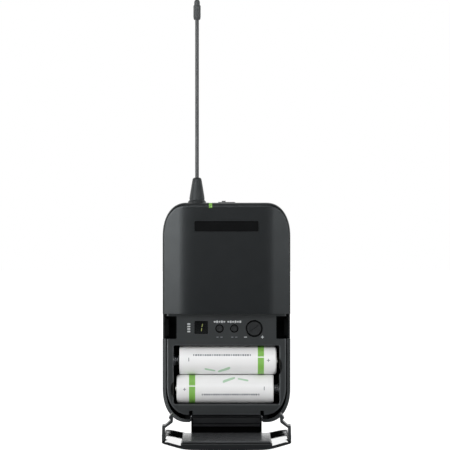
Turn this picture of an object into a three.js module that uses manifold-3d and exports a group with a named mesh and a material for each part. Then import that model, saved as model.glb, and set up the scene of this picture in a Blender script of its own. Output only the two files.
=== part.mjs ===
// Wireless bodypack transmitter, modelled as separate pieces in millimetres.
//
// Frame: +Z up along the antenna, +X to the right seen from the front, and the front faces -Y.
// The origin is the centre of the flat back face, so the pack reaches from Y = 0 forward to Y = -21.
// The pack stands with its battery door swung open, as it does for a battery change.

import * as THREE from 'three';
import { mergeVertices } from 'three/addons/utils/BufferGeometryUtils.js';
import Module from 'manifold-3d';

const wasm = await Module();
wasm.setup();

// ---------------------------------------------------------------- driving dimensions

// Pack envelope
const HALF_WIDTH = 32;
const TOP_Z = 55;
const BOTTOM_Z = -55;
const FRONT_Y = -21;
const CORNER_WIDTH = 12; // the corners are superellipses, taller than wide
const CORNER_HEIGHT = 17;
const CORNER_POWER = 2.2;
const CORNER_STEPS = 9;
const CORNER_TAPER = 0.7; // how fast the corners shrink when the outline is drawn smaller

// Front face: a flat middle and a slope down to each side
const FLAT_HALF = 21.5;
const SLOPE = THREE.MathUtils.degToRad(17);
const CREASE_SOFTNESS = 3; // half the width of the rounded change from flat to slope
const SHOULDER_RADIUS = 1; // edge between slope and side wall
const TOP_EDGE_RADIUS = 2.4;
const BACK_EDGE_RADIUS = 2.2;

// Shells
const FRONT_WALL = 1.8;
const SIDE_WALL = 1.6;
const BOTTOM_WALL = 1.5;
const BACK_WALL = 1.1;
const PARTING_Y = -8.5; // seam between the front and rear housings
const RIM_INSET = 3.8; // the rim around the door follows the front face, this far behind it
const SEAM = 0.2; // gap left between shells that meet
const GAP = 0.3; // gap left around pieces that rest on each other
const SEAT_GAP = 0.1; // gap left around a piece set into its seat
const CONTACT_GAP = 0.05; // gap left under a part that stands on another
const HOUSING_END_Z = -0.7; // lower edge of the front housing

// Chassis face behind the door
const PANEL_Y = -15.5;
const PANEL_THICKNESS = 1.5;
const CHASSIS_HALF = 29.6;
const CHASSIS_TOP_Z = 3;
const CHASSIS_BOTTOM_Z = -51.5;
const BAY_HALF = 26.4;
const BAY_WALL_HALF = 27; // the bay is a little wider behind the face, for the contacts
const BAY_TOP_Z = -16.7;
const BAY_BOTTOM_Z = -45.9;
const BAY_WALL = 1;
const CONTROL_Z = -8.1;

// Latch pockets and door latches
const POCKET_INNER = 25;
const POCKET_TOP_Z = -1.9;
const POCKET_BOTTOM_Z = -13.3;
const POCKET_RIM_Y = -6.6;
const RECESS_X = 31.2;
const LATCH_TOP_Z = -2.6;
const LATCH_BOTTOM_Z = -12.3;
const LATCH_PIVOT_Y = -15.8;

// Battery door
const HINGE_Y = -9;
const HINGE_Z = -52.5;
const HINGE_RADIUS = 2.4;
const HINGE_PIN_RADIUS = 1.2;
const HINGE_BORE_RADIUS = HINGE_PIN_RADIUS + 0.15;
const DOOR_OPEN = THREE.MathUtils.degToRad(93);
const DOOR_TOP_Z = -1;
const DOOR_WALL = 1.5;
const DOOR_SKIRT = 1.7; // height of the rib around the inside of the door's edge
const STRAP_HALF = 17.15;
const STRAP_WALL = 1.7;
const STRAP_GAP_HALF = 18.2;
const STRAP_ROOT_Y = -14;
const STRAP_ROOT_WALL = 3.2;
const LINER_HALF = 21.8;
const LINER_Y = -16.45;

// AA cells, two side by side, pointing opposite ways
const CELL_RADIUS = 7.15;
const CELL_Y = -8.75;
const CELL_LENGTH = 48.8;
const CELL_CAP_RADIUS = 2.75;
const CELL_CAP_HEIGHT = 1;
const CELL_SLEEVE = 0.2;
const UPPER_CELL_Z = -24.05;
const LOWER_CELL_Z = -38.55;
const CELL_SHIFT = 0.7; // each cell sits this far towards its own plate contact

// Antenna
const ANTENNA_X = -14.8;
const ANTENNA_Y = -10.5;
const ANTENNA_BOOT_TOP_Z = 67.6;
const ANTENNA_TIP_Z = 146.8;
const ANTENNA_END_Z = 157;
const WHIP_RADIUS = 1;

// Top panel
const LIGHT_X = -8.1;
const SWITCH_X = -1.4;
const SWITCH_TRAVEL = 3;
const SWITCH_Y = -12.5;
const CONNECTOR_X = 15;
const CONNECTOR_Y = -10.5;
const CONNECTOR_RADIUS = 5.2;

// Circuit board
const BOARD_Y = -8.2; // its front face
const BOARD_THICKNESS = 1.6;
const BOARD_HALF = 25.5;
const BOARD_TOP_Z = 48;
const BOARD_BOTTOM_Z = -14.9;

// Housing screws
const SCREW_RADIUS = 1.1;
const SCREW_HEAD_RADIUS = 1.85;
const UPPER_SCREW_X = 24;
const UPPER_SCREW_Z = 42;
const LOWER_SCREW_X = 23.2;
const LOWER_SCREW_Z = -49.8;

// Belt clip, one bent wire
const CLIP_RADIUS = 0.9;
const CLIP_PIVOT_Y = 3.2;
const CLIP_PIVOT_Z = 31;
const CLIP_HALF = 10;
const CLIP_STAND_OFF = 7;
const CLIP_PINCH_Y = 3;
const CLIP_END_Z = -30;

const ROUND = 24; // sides of a large round piece
const MEDIUM_ROUND = 18;
const SMALL_ROUND = 14;

// ---------------------------------------------------------------- materials

function material(colour, roughness, metalness = 0, extra = {}) {
  return new THREE.MeshStandardMaterial({ color: colour, roughness, metalness, ...extra });
}

const LOOK = {
  housing: () => material(0x2b2d30, 0.55),
  chassis: () => material(0x2e3032, 0.5),
  door: () => material(0x232426, 0.4),
  blackGloss: () => material(0x0b0b0d, 0.15),
  blackRubber: () => material(0x151617, 0.8),
  button: () => material(0x1c1d1f, 0.6),
  lightGreen: () => material(0x8fe060, 0.3, 0, { emissive: 0x2f6a18 }),
  springSteel: () => material(0xb9bcc0, 0.3, 1),
  nickel: () => material(0xc8c8c4, 0.25, 1),
  gold: () => material(0xd8b25a, 0.3, 1),
  board: () => material(0x1f5a35, 0.5),
  tin: () => material(0xa9abad, 0.4, 1),
  cellSleeve: () => material(0xe6e7e6, 0.35),
  label: () => material(0x9c9fa2, 0.5),
};

// ---------------------------------------------------------------- solid helpers

function solid(geometry) {
  const bare = geometry.index ? geometry.toNonIndexed() : geometry.clone();
  bare.deleteAttribute('normal');
  bare.deleteAttribute('uv');
  const merged = mergeVertices(bare, 1e-4);
  return new wasm.Manifold(new wasm.Mesh({
    numProp: 3,
    vertProperties: new Float32Array(merged.attributes.position.array),
    triVerts: new Uint32Array(merged.index.array),
  }));
}

function geometryOf(shape) {
  if (shape.isBufferGeometry) return shape;
  const mesh = shape.getMesh();
  const geometry = new THREE.BufferGeometry();
  geometry.setAttribute('position', new THREE.BufferAttribute(mesh.vertProperties, 3));
  geometry.setIndex(new THREE.BufferAttribute(mesh.triVerts, 1));
  geometry.computeVertexNormals();
  return geometry;
}

function union(...solids) {
  return solids.reduce((sum, next) => sum.add(next));
}

function cut(base, ...tools) {
  return tools.reduce((rest, tool) => rest.subtract(tool), base);
}

function block(x0, x1, y0, y1, z0, z1) {
  const geometry = new THREE.BoxGeometry(x1 - x0, y1 - y0, z1 - z0);
  geometry.translate((x0 + x1) / 2, (y0 + y1) / 2, (z0 + z1) / 2);
  return solid(geometry);
}

// The same block on the left and on the right.
function pairOfBlocks(x0, x1, ...rest) {
  return union(block(x0, x1, ...rest), block(-x1, -x0, ...rest));
}

function extrude(shape, depth) {
  return new THREE.ExtrudeGeometry(shape, { depth, bevelEnabled: false, curveSegments: 5 });
}

// A shape drawn in X and Z, run from y0 back to y1.
function prismY(shape, y0, y1) {
  const geometry = extrude(shape, y1 - y0);
  geometry.rotateX(Math.PI / 2);
  geometry.translate(0, y1, 0);
  return solid(geometry);
}

// A shape drawn in X and Y, run from z0 up to z1.
function prismZ(shape, z0, z1) {
  const geometry = extrude(shape, z1 - z0);
  geometry.translate(0, 0, z0);
  return solid(geometry);
}

// A shape drawn in Y and Z, run from x0 to x1.
function prismX(shape, x0, x1) {
  const geometry = extrude(shape, x1 - x0);
  const turn = new THREE.Matrix4().makeBasis(
    new THREE.Vector3(0, 1, 0),
    new THREE.Vector3(0, 0, 1),
    new THREE.Vector3(1, 0, 0),
  );
  geometry.applyMatrix4(turn);
  geometry.translate(x0, 0, 0);
  return solid(geometry);
}

const AXIS_TURN = {
  x: (geometry) => geometry.rotateZ(-Math.PI / 2),
  y: (geometry) => geometry,
  z: (geometry) => geometry.rotateX(Math.PI / 2),
};

// A rod along an axis: a and b are its ends on that axis, u and v the other two coordinates in order.
function rodGeometry(axis, u, v, a, b, radius, sides = ROUND, endRadius = radius) {
  const geometry = new THREE.CylinderGeometry(endRadius, radius, b - a, sides);
  AXIS_TURN[axis](geometry);
  const middle = (a + b) / 2;
  const place = { x: [middle, u, v], y: [u, middle, v], z: [u, v, middle] };
  geometry.translate(...place[axis]);
  return geometry;
}

function rod(...args) {
  return solid(rodGeometry(...args));
}

// A piece turned about the Z axis; the profile is [radius, z] pairs that start and end on the axis.
function turned(profile, x, y, sides = ROUND) {
  const points = profile.map(([radius, z]) => new THREE.Vector2(radius, z));
  const geometry = new THREE.LatheGeometry(points, sides);
  geometry.rotateX(Math.PI / 2);
  geometry.translate(x, y, 0);
  return geometry;
}

function polygon(points) {
  return new THREE.Shape(points.map(([u, v]) => new THREE.Vector2(u, v)));
}

function mirrored(shape) {
  return shape.mirror([1, 0, 0]);
}

// ---------------------------------------------------------------- outlines shared by the shells

// Front view outline: straight sides joined by superellipse corners.
function outline(half, top, bottom, cornerWidth = CORNER_WIDTH, cornerHeight = CORNER_HEIGHT) {
  const quarter = [];
  for (let step = 0; step <= CORNER_STEPS; step += 1) {
    const angle = (step / CORNER_STEPS) * (Math.PI / 2);
    quarter.push([
      half - cornerWidth + cornerWidth * Math.cos(angle) ** (2 / CORNER_POWER),
      cornerHeight * Math.sin(angle) ** (2 / CORNER_POWER) - cornerHeight,
    ]);
  }
  const right = [
    ...quarter.map(([x, drop]) => [x, bottom - drop]).reverse(),
    ...quarter.map(([x, drop]) => [x, top + drop]),
  ];
  const left = right.map(([x, z]) => [-x, z]).reverse();
  return polygon([...right, ...left]);
}

function insetOutline(side, end) {
  return outline(
    HALF_WIDTH - side, TOP_Z - end, BOTTOM_Z + end,
    CORNER_WIDTH - side * CORNER_TAPER, CORNER_HEIGHT - end * CORNER_TAPER,
  );
}

// Section through the front face, seen from above: flat middle, sloped sides, walls back to backY.
function frontSection(inset, backY) {
  const half = HALF_WIDTH - inset;
  const front = FRONT_Y + inset;
  const rise = Math.tan(SLOPE);
  const shoulderY = front + (half - FLAT_HALF) * rise;
  const shape = new THREE.Shape();
  shape.moveTo(-half, backY);
  shape.lineTo(-half, shoulderY + SHOULDER_RADIUS);
  shape.quadraticCurveTo(-half, shoulderY, -half + SHOULDER_RADIUS, shoulderY - SHOULDER_RADIUS * rise);
  shape.lineTo(-FLAT_HALF - CREASE_SOFTNESS, front + CREASE_SOFTNESS * rise);
  shape.quadraticCurveTo(-FLAT_HALF, front, -FLAT_HALF + CREASE_SOFTNESS, front);
  shape.lineTo(FLAT_HALF - CREASE_SOFTNESS, front);
  shape.quadraticCurveTo(FLAT_HALF, front, FLAT_HALF + CREASE_SOFTNESS, front + CREASE_SOFTNESS * rise);
  shape.lineTo(half - SHOULDER_RADIUS, shoulderY - SHOULDER_RADIUS * rise);
  shape.quadraticCurveTo(half, shoulderY, half, shoulderY + SHOULDER_RADIUS);
  shape.lineTo(half, backY);
  return shape;
}

// Everything behind the front face, moved back by an inset and carried straight past the sides.
function behindFrontFace(inset) {
  const front = FRONT_Y + inset;
  const rise = Math.tan(SLOPE);
  const sideY = front + (HALF_WIDTH + 1 - FLAT_HALF) * rise;
  return prismZ(polygon([
    [-HALF_WIDTH - 1, 1], [-HALF_WIDTH - 1, sideY], [-FLAT_HALF, front],
    [FLAT_HALF, front], [HALF_WIDTH + 1, sideY], [HALF_WIDTH + 1, 1],
  ]), BOTTOM_Z - 1, TOP_Z + 1);
}

// Side view with a rounded top front edge, to trim the front housing.
function roundedTopSide(inset) {
  const front = FRONT_Y + inset;
  const top = TOP_Z - inset;
  const radius = TOP_EDGE_RADIUS;
  const shape = new THREE.Shape();
  shape.moveTo(0, top);
  shape.lineTo(front + radius, top);
  shape.quadraticCurveTo(front, top, front, top - radius);
  shape.lineTo(front, BOTTOM_Z);
  shape.lineTo(0, BOTTOM_Z);
  return shape;
}

// Section of the rear housing seen from above, with rounded back edges.
function backSection(half, frontY) {
  const radius = BACK_EDGE_RADIUS;
  const shape = new THREE.Shape();
  shape.moveTo(-half, frontY);
  shape.lineTo(half, frontY);
  shape.lineTo(half, -radius);
  shape.quadraticCurveTo(half, 0, half - radius, 0);
  shape.lineTo(-half + radius, 0);
  shape.quadraticCurveTo(-half, 0, -half, -radius);
  return shape;
}

// Side view of the rear housing, with rounded back edges at top and bottom.
function backSide(frontY) {
  const radius = BACK_EDGE_RADIUS;
  const shape = new THREE.Shape();
  shape.moveTo(frontY, BOTTOM_Z);
  shape.lineTo(-radius, BOTTOM_Z);
  shape.quadraticCurveTo(0, BOTTOM_Z, 0, BOTTOM_Z + radius);
  shape.lineTo(0, TOP_Z - radius);
  shape.quadraticCurveTo(0, TOP_Z, -radius, TOP_Z);
  shape.lineTo(frontY, TOP_Z);
  return shape;
}

// ---------------------------------------------------------------- assembly

const transmitter = new THREE.Group();

function add(name, shape, look, parent = transmitter) {
  const mesh = new THREE.Mesh(geometryOf(shape), LOOK[look]());
  mesh.name = name;
  parent.add(mesh);
}

const FAR = 80; // reach of cutting blocks past the pack

// Openings in the top wall, cut through both housings.
const ANTENNA_HOLE_RADIUS = 3.1;
const SWITCH_SLOT = { half: 3.2, depth: 1.5 };
const TOP_CUT = [TOP_Z - 8, TOP_Z + 2];

function topOpenings() {
  const middle = SWITCH_X + SWITCH_TRAVEL / 2;
  return union(
    rod('z', ANTENNA_X, ANTENNA_Y, ...TOP_CUT, ANTENNA_HOLE_RADIUS),
    rod('z', CONNECTOR_X, CONNECTOR_Y, ...TOP_CUT, CONNECTOR_RADIUS + SEAM),
    block(
      middle - SWITCH_SLOT.half, middle + SWITCH_SLOT.half,
      SWITCH_Y - SWITCH_SLOT.depth, SWITCH_Y + SWITCH_SLOT.depth, ...TOP_CUT,
    ),
  );
}

const SCREW_SLACK = 0.15;
const SCREW_HOLE_RADIUS = SCREW_RADIUS + SCREW_SLACK;
const SCREW_HEAD = { front: -1.8, back: -0.3 };
const COUNTERBORE_Y = SCREW_HEAD.front - SEAT_GAP;
const BOSS_RADIUS = 2.6;
const REAR_BOSS_Y = -4.2;
const SCREW_END_Y = -11.5;
const SCREW_PLACES = [
  ['upper_left', -UPPER_SCREW_X, UPPER_SCREW_Z],
  ['upper_right', UPPER_SCREW_X, UPPER_SCREW_Z],
  ['lower_left', -LOWER_SCREW_X, LOWER_SCREW_Z],
  ['lower_right', LOWER_SCREW_X, LOWER_SCREW_Z],
];

const BADGE = { half: 16, bottom: 40.6, top: 45.8, depth: 0.5 };
const LIGHT_PIPE = { half: 1, drop: 2.6, depth: 1.4, reach: 5 };

function frontHousing() {
  const outer = prismY(outline(HALF_WIDTH, TOP_Z, BOTTOM_Z), FRONT_Y - 1, PARTING_Y - SEAM)
    .intersect(prismZ(frontSection(0, PARTING_Y - SEAM), HOUSING_END_Z, TOP_Z + 1))
    .intersect(prismX(roundedTopSide(0), -FAR, FAR));
  const hollow = prismY(insetOutline(FRONT_WALL, FRONT_WALL), FRONT_Y - 1, 0)
    .intersect(prismZ(frontSection(FRONT_WALL, 0), HOUSING_END_Z - 5, TOP_Z + 1))
    .intersect(prismX(roundedTopSide(FRONT_WALL), -FAR, FAR));
  const bosses = [-UPPER_SCREW_X, UPPER_SCREW_X].map((x) => cut(
    rod('y', x, UPPER_SCREW_Z, FRONT_Y + FRONT_WALL, REAR_BOSS_Y - GAP, BOSS_RADIUS, SMALL_ROUND)
      .intersect(prismZ(frontSection(1, 0), BOTTOM_Z, TOP_Z)),
    rod('y', x, UPPER_SCREW_Z, SCREW_END_Y - 1, 0, SCREW_HOLE_RADIUS, SMALL_ROUND),
  ));
  const badgeSeat = block(
    -BADGE.half - SEAT_GAP, BADGE.half + SEAT_GAP, FRONT_Y - 1, FRONT_Y + BADGE.depth + SEAT_GAP,
    BADGE.bottom - SEAT_GAP, BADGE.top + SEAT_GAP,
  );
  const lightSeat = block(
    LIGHT_X - LIGHT_PIPE.half - SEAT_GAP, LIGHT_X + LIGHT_PIPE.half + SEAT_GAP,
    FRONT_Y - 1, FRONT_Y + LIGHT_PIPE.reach + SEAT_GAP, TOP_Z - LIGHT_PIPE.drop - SEAT_GAP, TOP_Z + 1,
  );
  return cut(union(cut(outer, hollow), ...bosses), topOpenings(), badgeSeat, lightSeat);
}

const EAR = { inner: STRAP_GAP_HALF, outer: 20.6, front: -12.2, bottom: BOTTOM_Z + 0.6, top: -48.6 };
const STRAP_CUT_Y = -5.2;
const CATCH = { inner: 28.95, outer: 30.8, front: POCKET_RIM_Y, back: -5.4, bottom: -12, top: -3.4 };
const FINGER_RECESS_Y = -4.5;
const CAVITY_TAPER = 0.6;
const CLIP_BOSS = { inner: CLIP_HALF + 2.4, outer: CLIP_HALF + 6, half: 3, depth: 5.6 };
const LABEL = { half: 17, bottom: -46, top: -33, depth: 0.3 };

function rearHousing() {
  const outer = prismY(outline(HALF_WIDTH, TOP_Z, BOTTOM_Z), FRONT_Y, 0)
    .intersect(prismZ(backSection(HALF_WIDTH, FRONT_Y), BOTTOM_Z, TOP_Z))
    .intersect(prismX(backSide(FRONT_Y), -FAR, FAR))
    .intersect(behindFrontFace(RIM_INSET));
  const cavityCorner = [CORNER_WIDTH - SIDE_WALL * CAVITY_TAPER, CORNER_HEIGHT - BOTTOM_WALL];
  const hollow = prismY(
    outline(HALF_WIDTH - SIDE_WALL, TOP_Z - BOTTOM_WALL, BOTTOM_Z + BOTTOM_WALL, ...cavityCorner),
    FRONT_Y - 1, -BACK_WALL,
  );
  const upperCut = block(-FAR, FAR, -FAR, PARTING_Y, HOUSING_END_Z - SEAM, FAR);
  const pocketCut = pairOfBlocks(
    POCKET_INNER, FAR, -FAR, POCKET_RIM_Y, POCKET_BOTTOM_Z, HOUSING_END_Z,
  );
  const fingerRecess = pairOfBlocks(
    RECESS_X, FAR, -FAR, FINGER_RECESS_Y, POCKET_BOTTOM_Z, HOUSING_END_Z,
  );
  const strapCut = block(-STRAP_GAP_HALF, STRAP_GAP_HALF, -FAR, STRAP_CUT_Y, -FAR, EAR.top);
  const ears = pairOfBlocks(EAR.inner, EAR.outer, EAR.front, -BACK_WALL, EAR.bottom, EAR.top);
  const pinHole = rod(
    'x', HINGE_Y, HINGE_Z, -EAR.outer - 1, EAR.outer + 1, HINGE_BORE_RADIUS, SMALL_ROUND,
  );
  const catches = pairOfBlocks(
    CATCH.inner, CATCH.outer, CATCH.front, CATCH.back, CATCH.bottom, CATCH.top,
  );
  const bosses = SCREW_PLACES.map(([, x, z]) => rod(
    'y', x, z, REAR_BOSS_Y, -BACK_WALL / 2, BOSS_RADIUS, SMALL_ROUND,
  ));
  const screwHoles = SCREW_PLACES.map(([, x, z]) => union(
    rod('y', x, z, REAR_BOSS_Y - 1, 1, SCREW_HOLE_RADIUS, SMALL_ROUND),
    rod('y', x, z, COUNTERBORE_Y, 1, SCREW_HEAD_RADIUS + SCREW_SLACK, MEDIUM_ROUND),
  ));
  const clipBoss = pairOfBlocks(
    CLIP_BOSS.inner, CLIP_BOSS.outer, -BACK_WALL / 2, CLIP_BOSS.depth,
    CLIP_PIVOT_Z - CLIP_BOSS.half, CLIP_PIVOT_Z + CLIP_BOSS.half,
  );
  const clipHole = rod(
    'x', CLIP_PIVOT_Y, CLIP_PIVOT_Z, -CLIP_BOSS.outer - 1, CLIP_BOSS.outer + 1,
    CLIP_RADIUS + GAP, SMALL_ROUND,
  );
  const labelSeat = block(
    -LABEL.half - SEAT_GAP, LABEL.half + SEAT_GAP, -LABEL.depth - SEAT_GAP, 1,
    LABEL.bottom - SEAT_GAP, LABEL.top + SEAT_GAP,
  );
  const shell = union(cut(outer, hollow, upperCut, pocketCut, strapCut), ears, catches, ...bosses);
  return cut(
    union(cut(shell, fingerRecess, labelSeat), clipBoss),
    pinHole, clipHole, topOpenings(), ...screwHoles,
  );
}

const DISPLAY = { x: -12.7, z: -7.6, half: 3.4, tall: 3.3 };
const BUTTONS = [['group', -3.5], ['channel', 3.9]];
const BUTTON_RADIUS = 1.6;
const BUTTON_FLANGE_RADIUS = 2.6;
const BUTTON_HOLE_RADIUS = 2.1;
const KNOB_X = 13.9;
const KNOB_RADIUS = 3.6;
const KNOB_HOLE_RADIUS = 4.3;
const NOTCH = { inner: 17, outer: 18.8, top: -49.3 };
const CHASSIS_CORNER = [10.9, 14.5];
const SKIRT = { wall: 1.2, corner: [10, 13.5], back: -10.6 };
const POCKET_WALL = { thickness: 0.8, back: -8.6 };
// Finger scoops: half sizes, how far they reach into the bay's side wall, and the right one's drop
const SCOOP = { across: 3.6, deep: 4.5, tall: 4.5, reach: 1.7, drop: 3 };

function chassisFrame() {
  const faceBack = PANEL_Y + PANEL_THICKNESS;
  const drawnTop = CHASSIS_TOP_Z + CORNER_HEIGHT; // trimmed to a straight top edge by keep
  const shape = outline(CHASSIS_HALF, drawnTop, CHASSIS_BOTTOM_Z, ...CHASSIS_CORNER);
  const innerShape = outline(
    CHASSIS_HALF - SKIRT.wall, drawnTop, CHASSIS_BOTTOM_Z + SKIRT.wall, ...SKIRT.corner,
  );
  const keep = block(-FAR, FAR, PANEL_Y, 0, -FAR, CHASSIS_TOP_Z);
  const plate = prismY(shape, PANEL_Y, faceBack).intersect(keep);
  const skirt = cut(
    prismY(shape, PANEL_Y, SKIRT.back), prismY(innerShape, PANEL_Y - 1, 0),
  ).intersect(keep);
  const pocketWalls = pairOfBlocks(
    POCKET_INNER - POCKET_WALL.thickness, POCKET_INNER, PANEL_Y, POCKET_WALL.back,
    POCKET_BOTTOM_Z - POCKET_WALL.thickness, POCKET_TOP_Z + POCKET_WALL.thickness,
  );
  const bayOuter = block(
    -BAY_WALL_HALF - BAY_WALL, BAY_WALL_HALF + BAY_WALL, PANEL_Y, -BACK_WALL - SEAM,
    BAY_BOTTOM_Z - BAY_WALL, BAY_TOP_Z + BAY_WALL,
  );
  const bayInner = block(
    -BAY_WALL_HALF, BAY_WALL_HALF, faceBack, 0, BAY_BOTTOM_Z, BAY_TOP_Z,
  );
  const bayMouth = block(-BAY_HALF, BAY_HALF, -FAR, 0, BAY_BOTTOM_Z, BAY_TOP_Z);
  const columns = [-LOWER_SCREW_X, LOWER_SCREW_X].map((x) => rod(
    'y', x, LOWER_SCREW_Z, PANEL_Y, REAR_BOSS_Y - GAP, BOSS_RADIUS, SMALL_ROUND,
  ));
  const columnHoles = [-LOWER_SCREW_X, LOWER_SCREW_X].map((x) => rod(
    'y', x, LOWER_SCREW_Z, SCREW_END_Y - 1, 0, SCREW_HOLE_RADIUS, SMALL_ROUND,
  ));
  const pockets = pairOfBlocks(POCKET_INNER, FAR, -FAR, 0, POCKET_BOTTOM_Z, POCKET_TOP_Z);
  const notches = pairOfBlocks(NOTCH.inner, NOTCH.outer, -FAR, 0, -FAR, NOTCH.top);
  const hingeRoom = block(-EAR.outer - GAP, EAR.outer + GAP, EAR.front - GAP, 0, -FAR, EAR.top + GAP);
  const display = block(
    DISPLAY.x - DISPLAY.half, DISPLAY.x + DISPLAY.half, -FAR, 0,
    DISPLAY.z - DISPLAY.tall, DISPLAY.z + DISPLAY.tall,
  );
  const buttonHoles = BUTTONS.map(([, x]) => rod(
    'y', x, CONTROL_Z, PANEL_Y - 1, faceBack + 1, BUTTON_HOLE_RADIUS, MEDIUM_ROUND,
  ));
  const knobHole = rod('y', KNOB_X, CONTROL_Z, PANEL_Y - 1, faceBack + 1, KNOB_HOLE_RADIUS);
  const scoops = [[-1, LOWER_CELL_Z], [1, UPPER_CELL_Z - SCOOP.drop]].map(([side, z]) => {
    const ball = new THREE.SphereGeometry(1, ROUND, SMALL_ROUND);
    ball.scale(SCOOP.across, SCOOP.deep, SCOOP.tall);
    ball.translate(side * (BAY_HALF - SCOOP.across + SCOOP.reach), PANEL_Y, z);
    return solid(ball);
  });
  return cut(
    union(plate, skirt, pocketWalls, bayOuter, ...columns).intersect(prismY(shape, PANEL_Y, 0)),
    bayInner, bayMouth, pockets, notches, hingeRoom, display, knobHole,
    ...buttonHoles, ...columnHoles, ...scoops,
  );
}

// ---------------------------------------------------------------- shells and frame

add('front_housing', frontHousing(), 'housing');
add('rear_housing', rearHousing(), 'housing');
add('chassis_frame', chassisFrame(), 'chassis');
add(
  'blank_badge',
  block(
    -BADGE.half, BADGE.half, FRONT_Y + CONTACT_GAP, FRONT_Y + BADGE.depth, BADGE.bottom, BADGE.top,
  ),
  'blackGloss',
);
add(
  'rear_label',
  block(-LABEL.half, LABEL.half, -LABEL.depth, -CONTACT_GAP, LABEL.bottom, LABEL.top),
  'label',
);

// ---------------------------------------------------------------- controls on the chassis face

const LENS = { recess: 0.4, thickness: 1 };
const DISPLAY_MODULE = { depth: 5, side: 0.8, end: 1.4 };

function addDisplay() {
  const { x, z, half, tall } = DISPLAY;
  const lensY = PANEL_Y + LENS.recess;
  const lensHalf = half - SEAT_GAP;
  const lensTall = tall - SEAT_GAP;
  add(
    'display_lens',
    block(x - lensHalf, x + lensHalf, lensY, lensY + LENS.thickness, z - lensTall, z + lensTall),
    'blackGloss',
  );
  const moduleHalf = half + DISPLAY_MODULE.side;
  const moduleTall = tall + DISPLAY_MODULE.end;
  const moduleBack = BOARD_Y - SEAT_GAP;
  add(
    'display_module',
    block(
      x - moduleHalf, x + moduleHalf, moduleBack - DISPLAY_MODULE.depth, moduleBack,
      z - moduleTall, z + moduleTall,
    ),
    'blackGloss',
  );
}

const TACT = { half: 2.6, height: 3.5, travel: 0.6 };
const BUTTON_RECESS = 0.15;
const JOINED = 0.2; // overlap of two solids joined into one piece

function addButton(name, x) {
  const front = PANEL_Y + BUTTON_RECESS;
  const flange = PANEL_Y + PANEL_THICKNESS + GAP;
  const tactTop = BOARD_Y - TACT.height;
  add(
    `${name}_button`,
    union(
      rod('y', x, CONTROL_Z, front, flange + JOINED, BUTTON_RADIUS, MEDIUM_ROUND),
      rod('y', x, CONTROL_Z, flange, tactTop - TACT.travel, BUTTON_FLANGE_RADIUS, MEDIUM_ROUND),
    ),
    'button',
  );
  add(
    `${name}_tact_switch`,
    block(
      x - TACT.half, x + TACT.half, tactTop, BOARD_Y - CONTACT_GAP,
      CONTROL_Z - TACT.half, CONTROL_Z + TACT.half,
    ),
    'blackRubber',
  );
}

const KNOB_SLOT = { angle: THREE.MathUtils.degToRad(-35), half: 0.35, reach: 2.6, depth: 0.7 };
const KNOB_RECESS = 0.2;
const SHAFT = { radius: 1.4, end: BOARD_Y - 0.6 };
const POT = { half: 4.6, height: 3.2, clearance: 0.4 };

function addGainControl() {
  const front = PANEL_Y + KNOB_RECESS;
  const potFront = BOARD_Y - POT.height;
  const back = potFront - POT.clearance;
  const slot = new THREE.BoxGeometry(KNOB_SLOT.reach * 2, KNOB_SLOT.depth * 2, KNOB_SLOT.half * 2);
  slot.rotateY(KNOB_SLOT.angle);
  slot.translate(KNOB_X, front, CONTROL_Z);
  add(
    'gain_rotor',
    cut(
      union(
        rod('y', KNOB_X, CONTROL_Z, front, back, KNOB_RADIUS),
        rod('y', KNOB_X, CONTROL_Z, back - JOINED, SHAFT.end, SHAFT.radius, SMALL_ROUND),
      ),
      solid(slot),
    ),
    'button',
  );
  add(
    'gain_potentiometer',
    cut(
      block(
        KNOB_X - POT.half, KNOB_X + POT.half, potFront, BOARD_Y - CONTACT_GAP,
        CONTROL_Z - POT.half, CONTROL_Z + POT.half,
      ),
      rod('y', KNOB_X, CONTROL_Z, potFront - 1, SHAFT.end + JOINED, SHAFT.radius + GAP, SMALL_ROUND),
    ),
    'tin',
  );
}

addDisplay();
BUTTONS.forEach(([name, x]) => addButton(name, x));
addGainControl();

// ---------------------------------------------------------------- circuit board and what it carries

const CONNECTOR_DEPTH = 10;
// Room left in the board around the screw bosses, the connector and the latch pockets
const BOARD_ROOM = { screw: 3.6, connector: 1.5, pocketSide: 0.6, pocketBelow: 3, pocketAbove: 2 };
const SHIELD_CAN = { x0: -20, x1: 4, z0: 14, z1: 36, height: 3 };
const AUDIO_CHIP = { x0: 9, x1: 17, z0: 18, z1: 26, height: 1.2 };
const CAPACITOR = { x: 19.5, z: 11, radius: 3.1, height: 5.4 };

// A box that stands on the front of the board.
function onBoard({ x0, x1, z0, z1, height }) {
  const foot = BOARD_Y - CONTACT_GAP;
  return block(x0, x1, foot - height, foot, z0, z1);
}

function addBoard() {
  const back = BOARD_Y + BOARD_THICKNESS;
  const plate = block(-BOARD_HALF, BOARD_HALF, BOARD_Y, back, BOARD_BOTTOM_Z, BOARD_TOP_Z);
  const shoulders = pairOfBlocks(
    UPPER_SCREW_X - BOSS_RADIUS - GAP, FAR, -FAR, 0, UPPER_SCREW_Z - BOARD_ROOM.screw, FAR,
  );
  const connectorNotch = block(
    CONNECTOR_X - CONNECTOR_RADIUS - GAP, CONNECTOR_X + CONNECTOR_RADIUS + GAP,
    -FAR, 0, TOP_Z - CONNECTOR_DEPTH - BOARD_ROOM.connector, FAR,
  );
  const pockets = pairOfBlocks(
    POCKET_INNER - BOARD_ROOM.pocketSide, FAR, -FAR, 0,
    POCKET_BOTTOM_Z - BOARD_ROOM.pocketBelow, POCKET_TOP_Z + BOARD_ROOM.pocketAbove,
  );
  add('main_board', cut(plate, shoulders, connectorNotch, pockets), 'board');
  add('shield_can', onBoard(SHIELD_CAN), 'tin');
  add('audio_chip', onBoard(AUDIO_CHIP), 'blackRubber');
  const { x, z, radius, height } = CAPACITOR;
  const foot = BOARD_Y - CONTACT_GAP;
  add('filter_capacitor', rodGeometry('y', x, z, foot - height, foot, radius, SMALL_ROUND), 'tin');
}

addBoard();

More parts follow.
